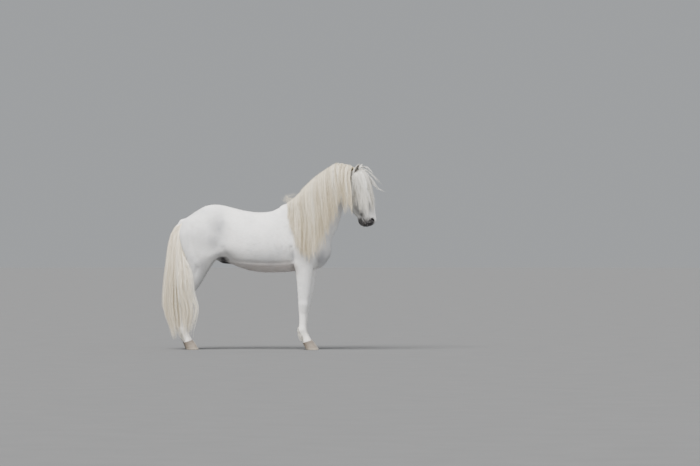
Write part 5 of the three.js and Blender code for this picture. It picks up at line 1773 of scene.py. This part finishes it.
def capped(points: Array, faces: Array, rings: int, around: int) -> tuple[Array, Array]:
    """A tube's points and faces with both ends closed to their middles.

    Args:
        points: the tube's points, ring by ring.
        faces: its faces.
        rings: how many rings.
        around: points a ring.

    Returns:
        The points and faces, closed.
    """
    start, end = points[:around].mean(0), points[(rings - 1) * around :].mean(0)
    first, last = len(points), len(points) + 1
    points = np.concatenate([points, [start], [end]])
    j = np.arange(around)
    n = (j + 1) % around
    low = np.stack([np.full(around, first), n, j, j], 1)
    base = (rings - 1) * around
    high = np.stack([np.full(around, last), base + j, base + n, base + n], 1)
    return points, np.concatenate([faces, low, high])


def closed_object(name: str, points: Array, faces: Array) -> Object:
    """Makes an object whose faces point outwards; a face of four whose last two meet becomes one of three.

    Args:
        name: the object's name.
        points: places in the source's millimetres.
        faces: indices, four a face.

    Returns:
        The object.
    """
    mesh = bpy.data.meshes.new(name)
    tidy = [tuple(dict.fromkeys(face)) for face in faces.tolist()]
    mesh.from_pydata(to_metres(points).tolist(), [], tidy)
    work = bmesh.new()
    work.from_mesh(mesh)
    bmesh.ops.recalc_face_normals(work, faces=work.faces)
    work.to_mesh(mesh)
    work.free()
    mesh.shade_smooth()
    return placed(name, mesh)


@dataclass
class Eye:
    """An eyeball with a brown iris and a long pupil, and the two lids about it."""

    skin: Skin
    side: Side
    rings: int = 40
    around: int = 48

    def axes(self) -> tuple[Array, Array, Array, Array]:
        """The middle of the eye, and the ways out, forward along the lids and up."""
        out = self.skin.gaze(self.side)
        forward = head_direction(1, 0, -0.25)
        forward = unit(forward - out * (forward @ out))
        return self.skin.eye_middle(self.side), out, forward, unit(np.cross(forward, out) * self.side.value)

    def ball(self) -> Object:
        """The eyeball, with the distance from its pupil kept for the finish."""
        middle, out, forward, up = self.axes()
        polar = np.linspace(0.03, np.pi - 0.03, self.rings)[:, None]
        turn = np.linspace(0, 2 * np.pi, self.around, endpoint=False)[None, :]
        bulge = 1 + 0.055 * bump(polar, 0, 0.62)
        local = np.stack([np.cos(polar) * bulge + 0 * turn, np.sin(polar) * np.cos(turn),
                          np.sin(polar) * np.sin(turn)], -1)
        points = middle + EYE_RADIUS * local.reshape(-1, 3) @ np.stack([out, forward, up])
        points, faces = capped(points, tube_faces(self.rings, self.around), self.rings, self.around)
        obj = closed_object(f"eyeball_{self.side.word}", points, faces)
        rays = unit(points - middle)
        store(obj, "iris", np.hypot(rays @ forward, rays @ up))
        store(obj, "pupil", np.hypot((rays @ forward) / 0.36, (rays @ up) / 0.17))
        return obj

    def lids(self) -> Object:
        """Both lids as one band round the almond of the eye, from the ball out into the skin."""
        middle, out, forward, up = self.axes()
        around, rings = 72, 16
        turn = np.linspace(0, 2 * np.pi, around, endpoint=False)
        opening_long = 0.88
        opening_high = np.where(np.sin(turn) > 0, 0.50, 0.36)
        corner = np.cos(turn)
        rows = []
        for k in range(rings):
            t = k / (rings - 1)
            spread = t**1.2
            x = corner * (opening_long * (1 - spread) + 1.50 * spread)
            slit = np.abs(np.sin(turn)) ** (0.5 - 0.5 * t) * opening_high
            y = np.sin(turn) * (slit * (1 - spread) + 1.42 * spread)
            reach = np.hypot(x, y)
            polar = np.minimum(reach, 1.45)
            tilt = np.sin(polar)[:, None] / np.maximum(reach, NOUGHT)[:, None]
            ray = unit(np.cos(polar)[:, None] * out + tilt * (x[:, None] * forward + y[:, None] * up))
            if k == 0:
                height = np.full(around, EYE_RADIUS - 0.6)
            else:
                fold = 1.7 * bump(t, 0.55, 0.1) * (np.sin(turn) > -0.2) - 1.2 * bump(t, 0.42, 0.07)
                height = EYE_RADIUS + 1.0 + 3.4 * step(0, 0.22, t) + fold
            point = middle + ray * np.asarray(height)[:, None]
            if t > 0.5:
                level = self.skin.flesh.distance(point)
                target = -0.6 - 3.2 * step(0.8, 1.0, t)
                pull = step(0.5, 0.95, t)
                point = point - self.skin.flesh.outward(point) * ((level - target) * pull)[:, None]
            rows.append(point)
        back = middle + (rows[-1] - middle) * 0.86 - out * 2.0
        inner = middle + (rows[0] - middle) * 0.9 - out * 1.5
        rows = [inner, *rows, back]
        points = np.concatenate(rows)
        faces = tube_faces(len(rows), around)
        low = np.arange(around)
        base = (len(rows) - 1) * around
        shut = np.stack([base + low, base + (low + 1) % around, (low + 1) % around, low], 1)
        obj = closed_object(f"lids_{self.side.word}", points, np.concatenate([faces, shut]))
        t = np.repeat(np.array([0, *np.linspace(0, 1, rings), 1.0]), around)
        store(obj, "dark", np.clip(1.1 - 1.5 * t, 0.42, 1))
        return obj


@dataclass
class Ear:
    """An open cup with a tapering tip and hair inside."""

    side: Side
    length: float = 132.0
    inside_hairs: int = 300
    rim_hairs: int = 380
    back_hairs: int = 700
    wall: float = 6.0
    radius_rows: tuple = ((0, 21), (0.2, 25), (0.42, 28), (0.65, 23), (0.85, 12), (1, 3))
    open_rows: tuple = ((0, 158), (0.18, 140), (0.4, 108), (0.7, 92), (1, 80))

    def frame(self) -> tuple[Array, Array, Array, Array]:
        """The base of the ear, its axis, the way that it opens and the way across."""
        base = from_head(50.0, self.side.value * 56.0, 8.0)
        axis = unit(np.array([0.42, self.side.value * 0.2, 0.88]))
        facing = np.array([0.62, self.side.value * 0.78, 0.0])
        opening = unit(facing - axis * (facing @ axis))
        return base, axis, opening, np.cross(axis, opening)

    def at(self, s: Array, turn: Array, share: Array) -> Array:
        """Points of the ear, by height, turn about its axis and share of the way through its wall.

        Args:
            s: height, from 0 at the base to 1 at the tip.
            turn: from -1 at one edge of the opening to 1 at the other.
            share: 0 on the inner wall, 1 on the outer one.

        Returns:
            The points.
        """
        base, axis, opening, across = self.frame()
        radius = Curve(self.radius_rows)(s)[0]
        open_angle = np.radians(Curve(self.open_rows)(s)[0]) * 0.99
        inner = np.maximum(radius - self.wall, radius * 0.42) * (0.35 + 0.65 * step(0.02, 0.14, s))
        reach = inner + (radius - 0.7 - inner) * share
        angle = turn * open_angle
        side = np.array([0, -self.side.value * 12.0, 0])
        middle = base + (self.length * (s - 0.12))[..., None] * axis + (s * s)[..., None] * side
        inward, aside = (np.cos(angle) * reach * 0.82)[..., None], (np.sin(angle) * reach)[..., None]
        return middle - inward * opening + aside * across

    def shell(self) -> Object:
        """The ear's wall, rounded along its edge."""
        rings, wide, edge = 34, 21, 4
        s = np.linspace(0, 0.995, rings)[:, None]
        turn = np.linspace(-1, 1, wide)
        curl = np.linspace(0, np.pi, edge + 2)[1:-1]
        turns = np.concatenate([turn, 1 + 0.05 * np.sin(curl), turn[::-1], -1 - 0.05 * np.sin(curl)])
        round_edge = (1 + np.cos(curl)) / 2
        shares = np.concatenate([np.ones(wide), round_edge, np.zeros(wide), 1 - round_edge])
        around = len(turns)
        points = self.at(*np.broadcast_arrays(s, turns[None], shares[None])).reshape(-1, 3)
        points, faces = capped(points, tube_faces(rings, around), rings, around)
        obj = closed_object(f"ear_shell_{self.side.word}", points, faces)
        inside = np.concatenate([np.tile(1 - shares, rings), [0.5, 0.5]])
        height = np.concatenate([np.repeat(s[:, 0], around), [0, 1]])
        store(obj, "dark", np.clip(inside * (1.0 - 0.25 * height), 0, 1))
        return obj

    def hair(self, seed: int, points: int = 4) -> Strands:
        """Hair inside the cup, along its rim and over its back.

        Args:
            seed: seed of the random draws.
            points: points a strand.

        Returns:
            The hairs.
        """
        rng = np.random.default_rng(seed)
        _, axis, opening, across = self.frame()
        t = np.linspace(0, 1, points)[None, :, None]
        lots = []
        count = self.inside_hairs
        s, turn = rng.uniform(0.1, 0.72, count), rng.uniform(-1, 1, count)
        root = self.at(s, turn, np.zeros(count))
        way = unit(axis * 0.9 + opening * rng.uniform(0.25, 0.8, (count, 1)) + across * turn[:, None] * 0.35)
        length = rng.uniform(16, 34, count)[:, None, None] * (1.1 - 0.6 * s[:, None, None])
        lots.append(root[:, None] + way[:, None] * length * t + axis * length * 0.2 * t**2)
        count = self.rim_hairs
        s = rng.uniform(0.05, 0.97, count)
        turn = rng.choice((-1.0, 1.0), count) * rng.uniform(0.9, 1.04, count)
        root = self.at(s, turn, rng.uniform(0.3, 1, count))
        way = unit(axis + opening * 0.25 + across * -turn[:, None] * rng.uniform(-0.1, 0.35, (count, 1)))
        length = rng.uniform(8, 16, count)[:, None, None]
        lots.append(root[:, None] + way[:, None] * length * t)
        count = self.back_hairs
        s, turn = rng.uniform(0.02, 0.93, count), rng.uniform(-0.98, 0.98, count)
        root = self.at(s, turn, np.ones(count))
        away = unit(root - self.at(s, turn, np.zeros(count)))
        way = unit(axis + away * 0.12 + rng.normal(0, 0.07, (count, 3)))
        length = rng.uniform(8, 14, count)[:, None, None]
        lots.append(root[:, None] - away[:, None] * 0.6 + way[:, None] * length * t)
        paths = np.concatenate(lots)
        half = np.full((len(paths), 1), 0.75) * (1 - 0.9 * np.linspace(0, 1, points)[None, :] ** 1.5)
        roots = rng.uniform(0.02, 0.98, (len(paths), 2))
        return Strands(paths, half, rng.uniform(0.3, 1, len(paths)), roots)


@dataclass
class Hoof:
    """A hoof with a ringed wall, a coronet that slopes to the heels and a flat sole."""

    flesh: Flesh
    leg: Leg
    side: Side
    sole_shift: float
    toe: float = 66.0
    heel: float = 58.0
    half: float = 56.0
    power: float = 2.3
    level: float = 82.0
    slope: float = 0.32
    around: int = 80
    wall_rings: int = 26

    def build(self, name: str) -> Object:
        """The hoof's mesh, with the height up its wall kept for the finish.

        Args:
            name: the piece's name.

        Returns:
            The hoof.
        """
        front, rear, away, half, _ = (float(c[0]) for c in self.leg.curve(np.array([self.level])))
        shift = float(self.leg.far_shift(np.array([self.level]))[0]) if self.side is Side.LEFT else 0.0
        top_middle = (front + rear) / 2 + shift
        turn = np.linspace(0, 2 * np.pi, self.around, endpoint=False)
        cos, sin = np.cos(turn), np.sin(turn)
        shape = (np.abs(cos) ** self.power + np.abs(sin) ** self.power) ** (-1 / self.power)
        wall = np.linspace(0.1, 0.97, self.wall_rings)
        heights = np.concatenate([[0.0, 0.0, 0.02, 0.06], wall, [0.99, 1.0, 0.985]])
        shares = np.concatenate([[0.6, 0.94, 0.985, 1.0], np.ones(len(wall)), [0.99, 0.93, 0.8]])
        rows = []
        for t, share in zip(heights, shares):
            reach = np.where(cos > 0, self.toe, self.heel) * (1 - t) + ((front - rear) / 2 + 2.5) * t
            wide = self.half * (1 - t) + (half + 2.5) * t
            wide = wide * np.where(cos < 0, 1 - 0.16 * cos**2 * (1 - t), 1)
            cleft = 1 - 0.10 * bump(turn, np.pi, 0.16) * (1 - 0.5 * t)
            ring = 0.5 * np.sin(t * 46 + 0.6 * np.cos(turn)) * step(0.04, 0.2, t) - 0.8
            grow = share * cleft
            x = (top_middle + self.sole_shift) * (1 - t) + top_middle * t
            x = x + (reach + ring) * shape * cos * grow
            y = self.side.value * away + (wide + ring) * shape * sin * grow
            level = self.level + self.slope * (x - top_middle)
            rows.append(np.stack([x, y, level * t], 1))
        tube = tube_faces(len(rows), self.around)
        obj = closed_object(name, *capped(np.concatenate(rows), tube, len(rows), self.around))
        store(obj, "rise", np.concatenate([np.repeat(heights, self.around), [0.0, 1.0]]))
        return obj


class Graph:
    """A material's nodes, with short calls to add and join them."""

    FACTOR, FIRST, SECOND, MIXED = 0, 6, 7, 2

    def __init__(self, name: str) -> None:
        """Starts a material with only a surface shader."""
        self.material = bpy.data.materials.new(name)
        self.material.use_nodes = True
        self.nodes = self.material.node_tree.nodes
        self.links = self.material.node_tree.links
        self.shader = self.nodes["Principled BSDF"]

    def set(self, **values: object) -> None:
        """Sets the shader's own sockets, named with underscores for spaces."""
        for name, value in values.items():
            self.shader.inputs[name.replace("_", " ")].default_value = value

    def add(self, kind: str, inputs: dict | None = None, **properties: object) -> Node:
        """Adds a node; each input is a value or another node's output.

        Args:
            kind: the node's type.
            inputs: values by socket.
            properties: the node's own settings.

        Returns:
            The node.
        """
        node = self.nodes.new(kind)
        for name, value in properties.items():
            setattr(node, name, value)
        for name, value in (inputs or {}).items():
            if isinstance(value, NodeSocket):
                self.links.new(value, node.inputs[name])
            else:
                node.inputs[name].default_value = value
        return node

    def number(self, name: str) -> NodeSocket:
        """A number that the mesh keeps per vertex."""
        return self.add("ShaderNodeAttribute", attribute_name=name).outputs["Fac"]

    def place(self, stretch: tuple[float, float, float], turn: float = 0.0) -> NodeSocket:
        """Object coordinates, stretched and turned about Y."""
        where = self.add("ShaderNodeTexCoord").outputs["Object"]
        inputs = {"Vector": where, "Rotation": (0.0, turn, 0.0), "Scale": stretch}
        return self.add("ShaderNodeMapping", inputs).outputs["Vector"]

    def noise(self, vector: NodeSocket, scale: float, detail: float = 3.0) -> NodeSocket:
        """Noise between 0 and 1."""
        inputs = {"Vector": vector, "Scale": scale, "Detail": detail}
        return self.add("ShaderNodeTexNoise", inputs).outputs["Fac"]

    def ramp(self, value: NodeSocket, *stops: tuple[float, tuple]) -> NodeSocket:
        """A colour for each value."""
        node = self.add("ShaderNodeValToRGB", {"Fac": value})
        while len(node.color_ramp.elements) < len(stops):
            node.color_ramp.elements.new(0.5)
        for element, (position, colour) in zip(node.color_ramp.elements, stops):
            element.position, element.color = position, (*colour, 1.0)
        return node.outputs["Color"]

    def mix(self, share: object, a: object, b: object, how: str = "MIX") -> NodeSocket:
        """Colour b over colour a by a share."""
        node = self.add("ShaderNodeMix", data_type="RGBA", blend_type=how)
        for socket, value in zip((self.FACTOR, self.FIRST, self.SECOND), (share, a, b)):
            if isinstance(value, NodeSocket):
                self.links.new(value, node.inputs[socket])
            else:
                node.inputs[socket].default_value = value if isinstance(value, float) else (*value, 1.0)
        return node.outputs[self.MIXED]

    def maths(self, how: str, *values: object) -> NodeSocket:
        """One sum of numbers."""
        return self.add("ShaderNodeMath", dict(enumerate(values)), operation=how).outputs[0]

    def scaled(self, value: NodeSocket | float, less: NodeSocket | float, times: float) -> NodeSocket:
        """A number less something, then multiplied."""
        return self.maths("MULTIPLY", self.maths("SUBTRACT", value, less), times)

    def span(self, value: NodeSocket, low: float, high: float) -> NodeSocket:
        """A number that goes from 0 to 1 between two levels."""
        levels = {"Value": value, "From Min": low, "From Max": high}
        return self.add("ShaderNodeMapRange", levels).outputs["Result"]

    def bump(self, height: NodeSocket, strength: float, distance: float) -> None:
        """Raises the surface by a height."""
        node = self.add("ShaderNodeBump", {"Height": height, "Strength": strength, "Distance": distance})
        self.links.new(node.outputs["Normal"], self.shader.inputs["Normal"])

    def colour(self, value: NodeSocket) -> None:
        """Colours the surface."""
        self.links.new(value, self.shader.inputs["Base Color"])


@dataclass(frozen=True)
class CoatFinish:
    """Short white fur over pale grey skin, with dark skin at the muzzle, the eyes and the groin, and painted
    shade in the groin, the flank hollow, the breast, the elbow crease and under the belly.
    """

    white: tuple = (0.865, 0.862, 0.855)
    cool: tuple = (0.70, 0.705, 0.715)
    warm: tuple = (0.74, 0.69, 0.60)
    dark: tuple = (0.040, 0.036, 0.038)
    # grey: grey mottling and painted shade of hollows and folds; belly: a pinkish tone and painted shade of
    # the underside.
    grey: tuple = (0.27, 0.275, 0.30)
    belly: tuple = (0.50, 0.41, 0.37)

    def material(self) -> Material:
        """Builds the finish."""
        g = Graph("coat")
        g.set(Roughness=0.78, Sheen_Weight=0.22, Sheen_Roughness=0.45, Specular_IOR_Level=0.28)
        plain = g.place((1, 1, 1))
        mottle = g.noise(plain, 3.1, 3.0)
        fine = g.noise(plain, 26.0, 4.0)
        lengthways = g.noise(g.place((24, 190, 150), 0.42), 1.0, 3.0)
        downwards = g.noise(g.place((230, 230, 26)), 1.0, 3.0)
        height = g.add("ShaderNodeSeparateXYZ", {"Vector": plain}).outputs["Z"]
        legs = g.maths("MAXIMUM", g.maths("MULTIPLY_ADD", height, -5.0, 4.3), 0.0)
        legs = g.maths("SMOOTH_MIN", legs, 1.0, 0.1)
        streak = g.add("ShaderNodeMix", {"Factor": legs}, data_type="FLOAT")
        g.links.new(lengthways, streak.inputs["A"])
        g.links.new(downwards, streak.inputs["B"])
        strand = streak.outputs["Result"]
        base = g.ramp(mottle, (0.36, self.cool), (0.56, self.white))
        base = g.mix(g.scaled(fine, 0.42, 0.7), base, self.warm)
        streaks = g.ramp(strand, (0.3, (0.66, 0.65, 0.63)), (0.7, (1.0, 0.99, 0.97)))
        base = g.mix(0.34, base, streaks, "MULTIPLY")
        blotch = g.ramp(g.noise(plain, 9.0, 4.0), (0.3, (0.72, 0.72, 0.72)), (0.6, (1, 1, 1)))
        # Painted shade: the grey mark greys the flank hollow, breast and elbow crease over real grey mottling;
        # the warm mark darkens the belly's underside as well as tinting it pink.
        for name, shade_and_tone in (("grey", self.grey), ("warm", self.belly)):
            share = g.maths("MULTIPLY", g.number(name), blotch)
            base = g.mix(share, base, shade_and_tone)
        low = g.scaled(0.5, height, 0.9)
        base = g.mix(g.maths("MINIMUM", g.maths("MAXIMUM", low, 0.0), 0.28), base, self.warm)
        # The dark mark is dark skin, with painted shade about the sheath and in the groin.
        ragged = g.maths("ADD", g.number("dark"), g.scaled(fine, 0.5, 0.55))
        g.colour(g.mix(g.span(ragged, 0.22, 0.8), base, self.dark))
        g.bump(g.maths("ADD", strand, g.maths("MULTIPLY", fine, 0.5)), 0.55, 0.0022)
        return g.material


@dataclass(frozen=True)
class HairFinish:
    """Long satin hair, from its shaded to its light strands; the shaded ones are a random darker tone and
    painted shade of the gaps between locks.
    """

    name: str
    # shade: the darkest strands, painted shade of the gaps between locks as well as a random darker tone.
    shade: tuple
    middle: tuple
    light: tuple
    tip: tuple
    gloss: float = 0.5

    def material(self) -> Material:
        """Builds the finish."""
        g = Graph(self.name)
        g.set(Roughness=self.gloss, Specular_IOR_Level=0.4)
        tint = g.number("tint")
        # Painted shade: the darker strand tints stand for the shadow in the gaps between locks as well as
        # random tone; their spread grows towards the tips, where the locks part.
        colour = g.ramp(tint, (0.1, self.shade), (0.5, self.middle), (0.9, self.light))
        along = g.number("along")
        gap_shade_spread = g.maths("MINIMUM", g.maths("MULTIPLY_ADD", along, 1.5, 0.2), 1.0)
        colour = g.mix(gap_shade_spread, self.middle, colour)
        colour = g.mix(g.maths("MULTIPLY", g.maths("POWER", along, 2.0), 0.35), colour, self.tip)
        patchy = g.noise(g.place((9, 9, 3)), 1.0, 3.0)
        colour = g.mix(0.3, colour, g.ramp(patchy, (0.3, (0.78, 0.75, 0.69)), (0.62, (1, 1, 1))), "MULTIPLY")
        g.colour(colour)
        g.bump(g.noise(g.place((700, 700, 60)), 1.0, 2.0), 0.25, 0.0004)
        return g.material


@dataclass(frozen=True)
class EyeFinish:
    """A wet dark brown eye with a long black pupil."""

    rim: tuple = (0.012, 0.008, 0.006)
    iris: tuple = (0.030, 0.013, 0.006)
    fleck: tuple = (0.062, 0.029, 0.013)
    pupil: tuple = (0.002, 0.002, 0.003)

    def material(self) -> Material:
        """Builds the finish."""
        g = Graph("eye")
        g.set(Roughness=0.09, Coat_Weight=0.25, Coat_Roughness=0.03, IOR=1.38, Specular_IOR_Level=0.35)
        grain = g.noise(g.place((1, 1, 1)), 260.0, 3.0)
        around = g.mix(grain, self.iris, self.fleck)
        colour = g.mix(g.span(g.number("iris"), 0.5, 0.66), around, self.rim)
        g.colour(g.mix(g.span(g.number("pupil"), 1.12, 0.92), colour, self.pupil))
        return g.material


@dataclass(frozen=True)
class EarFinish:
    """White fur outside and bare grey skin inside."""

    white: tuple = (0.78, 0.765, 0.74)
    inner: tuple = (0.10, 0.082, 0.08)

    def material(self) -> Material:
        """Builds the finish."""
        g = Graph("ear")
        g.set(Roughness=0.8, Sheen_Weight=0.2, Specular_IOR_Level=0.3)
        fine = g.noise(g.place((1, 1, 1)), 90.0, 4.0)
        white = g.ramp(fine, (0.3, (0.58, 0.56, 0.54)), (0.6, self.white))
        inner = g.mix(fine, self.inner, (0.07, 0.06, 0.06))
        edge = g.maths("ADD", g.number("dark"), g.scaled(fine, 0.5, 0.5))
        g.colour(g.mix(g.span(edge, 0.35, 0.75), white, inner))
        g.bump(fine, 0.4, 0.001)
        return g.material


@dataclass(frozen=True)
class HornFinish:
    """Horn in grown rings, paler to the ground, with fine upright grain."""

    light: tuple = (0.34, 0.29, 0.235)
    deep: tuple = (0.13, 0.105, 0.085)
    dust: tuple = (0.40, 0.36, 0.30)

    def material(self) -> Material:
        """Builds the finish."""
        g = Graph("horn")
        g.set(Roughness=0.46, Specular_IOR_Level=0.45)
        grain = g.noise(g.place((260, 260, 18)), 1.0, 4.0)
        patches = g.noise(g.place((12, 12, 30)), 1.0, 3.0)
        rise = g.number("rise")
        colour = g.ramp(g.maths("ADD", g.maths("MULTIPLY", rise, 0.45), g.maths("MULTIPLY", patches, 0.6)),
                        (0.25, self.light), (0.85, self.deep))
        colour = g.mix(0.4, colour, g.ramp(grain, (0.35, (0.45, 0.43, 0.4)), (0.65, (1, 1, 1))), "MULTIPLY")
        g.colour(g.mix(g.maths("MULTIPLY", g.span(rise, 0.22, 0.0), 0.55), colour, self.dust))
        rings = g.maths("MULTIPLY", g.maths("SINE", g.maths("MULTIPLY", rise, 74.0)), 0.3)
        g.bump(g.maths("ADD", grain, rings), 0.3, 0.0008)
        return g.material


@dataclass
class Studio:
    """A plain pale floor, soft light and a camera at the photograph's distance and angle."""

    focal: float = 200.0
    sensor: float = 36.0
    picture: tuple[int, int] = (700, 466)
    scale: float = 9.76
    zero: Pair = (269.75, 349.5)
    azimuth: float = 5.0
    floor_dark: tuple = (0.1255, 0.127, 0.1295)
    floor_light: tuple = (0.1325, 0.134, 0.1365)

    def camera(self) -> None:
        """Places the camera so that the horse falls where it does in the photograph."""
        turn = math.radians(self.azimuth)
        right = Vector((math.cos(turn), math.sin(turn), 0))
        back = Vector((math.sin(turn), -math.cos(turn), 0))
        across = (self.picture[0] / 2 - self.zero[0]) * self.scale
        height = (self.zero[1] - self.picture[1] / 2) * self.scale
        shift = Vector(ORIGIN_SHIFT)
        target = (shift + right * across + Vector((0, 0, height))) * MM
        distance = self.picture[0] * self.scale * MM * self.focal / self.sensor
        data = bpy.data.cameras.new("camera")
        data.lens, data.sensor_width = self.focal, self.sensor
        data.clip_start, data.clip_end = 0.1, 400
        camera = placed("camera", data)
        camera.location = target + back * distance
        camera.rotation_mode = "QUATERNION"
        camera.rotation_quaternion = (-back).to_track_quat("-Z", "Y")
        bpy.context.scene.camera = camera

    def floor(self) -> Object:
        """A wide round floor with a faint grain."""
        count, radius = 96, 90.0
        turn = np.linspace(0, 2 * np.pi, count, endpoint=False)
        mesh = bpy.data.meshes.new("floor")
        ring = [(radius * math.cos(a), radius * math.sin(a), 0.0) for a in turn]
        mesh.from_pydata(ring, [], [tuple(range(count))])
        g = Graph("floor")
        g.set(Roughness=1.0, Specular_IOR_Level=0.0)
        g.colour(g.ramp(g.noise(g.place((1, 1, 1)), 3.0), (0.3, self.floor_dark), (0.7, self.floor_light)))
        mesh.materials.append(g.material)
        return placed("floor", mesh)

    def light(self, name: str, at: tuple, wide: float, power: float, colour: tuple = (1, 1, 1)) -> None:
        """A light as wide as an open sky: where it comes from, and its angle across in degrees."""
        data = bpy.data.lights.new(name, "SUN")
        data.angle, data.energy, data.color = math.radians(wide), power, colour
        obj = placed(name, data)
        obj.location = at
        obj.rotation_mode = "QUATERNION"
        obj.rotation_quaternion = Vector(at).to_track_quat("Z", "Y")

    def build(self) -> None:
        """Sets the whole stage."""
        self.camera()
        self.floor()
        world = bpy.data.worlds.new("studio")
        bpy.context.scene.world = world
        world.use_nodes = True
        sky = world.node_tree.nodes["Background"]
        sky.inputs["Color"].default_value = (0.93, 0.965, 1.0, 1)
        sky.inputs["Strength"].default_value = 0.42
        self.light("key", (-1.9, -3.7, 6.6), 42, 8.8, (1.0, 0.985, 0.96))
        self.light("fill", (5.0, -3.4, 2.2), 70, 1.3)
        self.light("back", (1.0, 5.0, 3.6), 60, 1.1)


@dataclass
class Horse:
    """All the pieces of the horse, built in order."""

    flesh: Flesh = field(default_factory=Flesh)
    total: int = 0

    def keep(self, obj: Object, slot: str, *nodes: str, material: Material | None = None) -> None:
        """Dresses a piece, ties it to the body and reports it.

        Args:
            obj: the piece.
            slot: the name of a material slot; not used.
            nodes: the solids that it stands for.
            material: its finish, where it has none yet.
        """
        if material is not None:
            obj.data.materials.clear()
            obj.data.materials.append(material)
        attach(obj, "root")
        if nodes:
            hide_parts(*nodes)
        triangles = sum(len(p.vertices) - 2 for p in obj.data.polygons)
        self.total += triangles
        LOG.info("%s: %d triangles", obj.name, triangles)

    def build(self) -> None:
        """Builds every piece."""
        groom, solids = Groom(self.flesh), StrandNodes()
        unwrap, skin = Unwrap(self.flesh), Skin(self.flesh)
        coat = CoatFinish().material()
        # The first colour of each hair finish is painted shade of the gaps between locks as well as a random
        # darker tone.
        mane_hair = HairFinish("mane_hair", (0.43, 0.355, 0.235), (0.83, 0.755, 0.59), (0.96, 0.92, 0.82),
                               (0.84, 0.72, 0.51)).material()
        tail_hair = HairFinish("tail_hair", (0.60, 0.51, 0.36), (0.98, 0.90, 0.74), (0.99, 0.96, 0.88),
                               (0.99, 0.90, 0.72)).material()
        front_hair = HairFinish("forelock_hair", (0.43, 0.41, 0.36), (0.83, 0.81, 0.75), (0.96, 0.95, 0.92),
                                (0.84, 0.79, 0.69)).material()
        surface = skin.build(unwrap)
        legs = [f"{leg}_leg_{part}_{side.word}" for leg in ("front", "hind") for part in ("upper", "lower")
                for side in Side]
        self.keep(surface, "coat", "torso", "neck", "head", *legs, material=coat)
        tufts = Coat(skin, unwrap)
        for number, seed in enumerate((3, 4)):
            piece = tufts.strands(surface, seed)
            obj = solids.solids(f"coat_tufts_{number + 1}", piece, coat, flatness=0.24, blended=True)
            skin.mark(obj, vertex_points(obj))
            self.keep(obj, "coat")
        self.head(skin, groom, solids, front_hair, coat)
        self.long_hair(groom, solids, mane_hair, tail_hair)
        self.feet(groom, solids, front_hair)
        LOG.info("%d triangles in all", self.total)

    def head(self, skin: Skin, groom: Groom, solids: StrandNodes, hair: Material,
             coat: Material) -> None:
        """Builds the eyes, lids, ears, forelock and whiskers."""
        ear_finish, eye_finish = EarFinish().material(), EyeFinish().material()
        for side in Side:
            eye = Eye(skin, side)
            self.keep(eye.ball(), "eye", f"eye_{side.word}", material=eye_finish)
            self.keep(eye.lids(), "coat", material=coat)
            ear = Ear(side)
            self.keep(ear.shell(), "ear_skin", f"ear_{side.word}", material=ear_finish)
            self.keep(solids.solids(f"ear_hair_{side.word}", ear.hair(20 + side.value), hair), "hair")
        forelock = Forelock(self.flesh, groom)
        lots = [forelock.strands(84, 19, 24.0, (0.9, 1.6), 31),
                forelock.strands(46, 12, 30.0, (0.5, 0.9), 32), forelock.flyaway(12, 33)]
        self.keep(solids.solids("forelock", Strands.joined(lots), hair), "hair")
        self.keep(solids.solids("whiskers", Whiskers(skin).strands(41), hair), "hair")

    def long_hair(self, groom: Groom, solids: StrandNodes, mane_hair: Material,
                  tail_hair: Material) -> None:
        """Builds the mane and the tail."""
        mane = Mane(self.flesh, groom)
        near, far = Side.RIGHT, Side.LEFT
        lots = {
            "mane_under": mane.strands(near, 78, 24, 1.0, 46.0, (1.8, 2.9), 51, (0.0, 0.5)),
            "mane_over": mane.strands(near, 150, 18, 1.0, 30.0, (1.1, 2.0), 52, (0.3, 0.9)),
            "mane_far": mane.strands(far, 64, 19, 0.36, 40.0, (1.2, 2.2), 53, (0.0, 0.5)),
            "mane_wisps": Strands.joined([mane.strands(near, 84, 9, 1.0, 17.0, (0.8, 1.4), 54, (0.8, 1.15)),
                                          mane.crest_hairs(800, 55), mane.curls(34, 56)]),
        }
        tail = Tail(self.flesh, groom)
        lots["tail_under"] = tail.strands(70, 24, 52.0, (2.0, 3.2), (0.3, 0.85), (1080, 1244), 61)
        lots["tail_over"] = tail.strands(102, 21, 40.0, (1.1, 2.1), (0.84, 1.0), (1150, 1262), 62)
        high_wisps = tail.strands(34, 9, 20.0, (0.8, 1.4), (0.98, 1.06), (1100, 1255), 63)
        low_wisps = tail.strands(16, 9, 26.0, (0.8, 1.4), (0.95, 1.1), (700, 1000), 64, turns=(70, 108))
        lots["tail_wisps"] = Strands.joined([high_wisps, low_wisps])
        for name, strands in lots.items():
            replaced = ("tail",) if name == "tail_over" else ()
            hair = tail_hair if name.startswith("tail") else mane_hair
            self.keep(solids.solids(name, strands, hair), "hair", *replaced)

    def feet(self, groom: Groom, solids: StrandNodes, hair: Material) -> None:
        """Builds the feathers and the hooves."""
        feathers, horn = Feathers(self.flesh, groom), HornFinish().material()
        lots = []
        pairs = ((self.flesh.front, "front", 46.0, 76), (self.flesh.hind, "hind", 40.0, 72))
        for leg, word, shift, seed in pairs:
            for side in Side:
                lots.append(feathers.strands(leg, side, 44, 13, seed + side.value))
                hoof = Hoof(self.flesh, leg, side, shift).build(f"{word}_hoof_{side.word}")
                self.keep(hoof, "horn", f"{word}_leg_hoof_{side.word}", material=horn)
        self.keep(solids.solids("feathers", Strands.joined(lots), hair), "hair")


def main() -> None:
    """Sets the stage and builds the horse."""
    logging.basicConfig(level=logging.INFO, format="%(message)s")
    Studio().build()
    Horse().build()


if __name__ == "__main__":
    main()
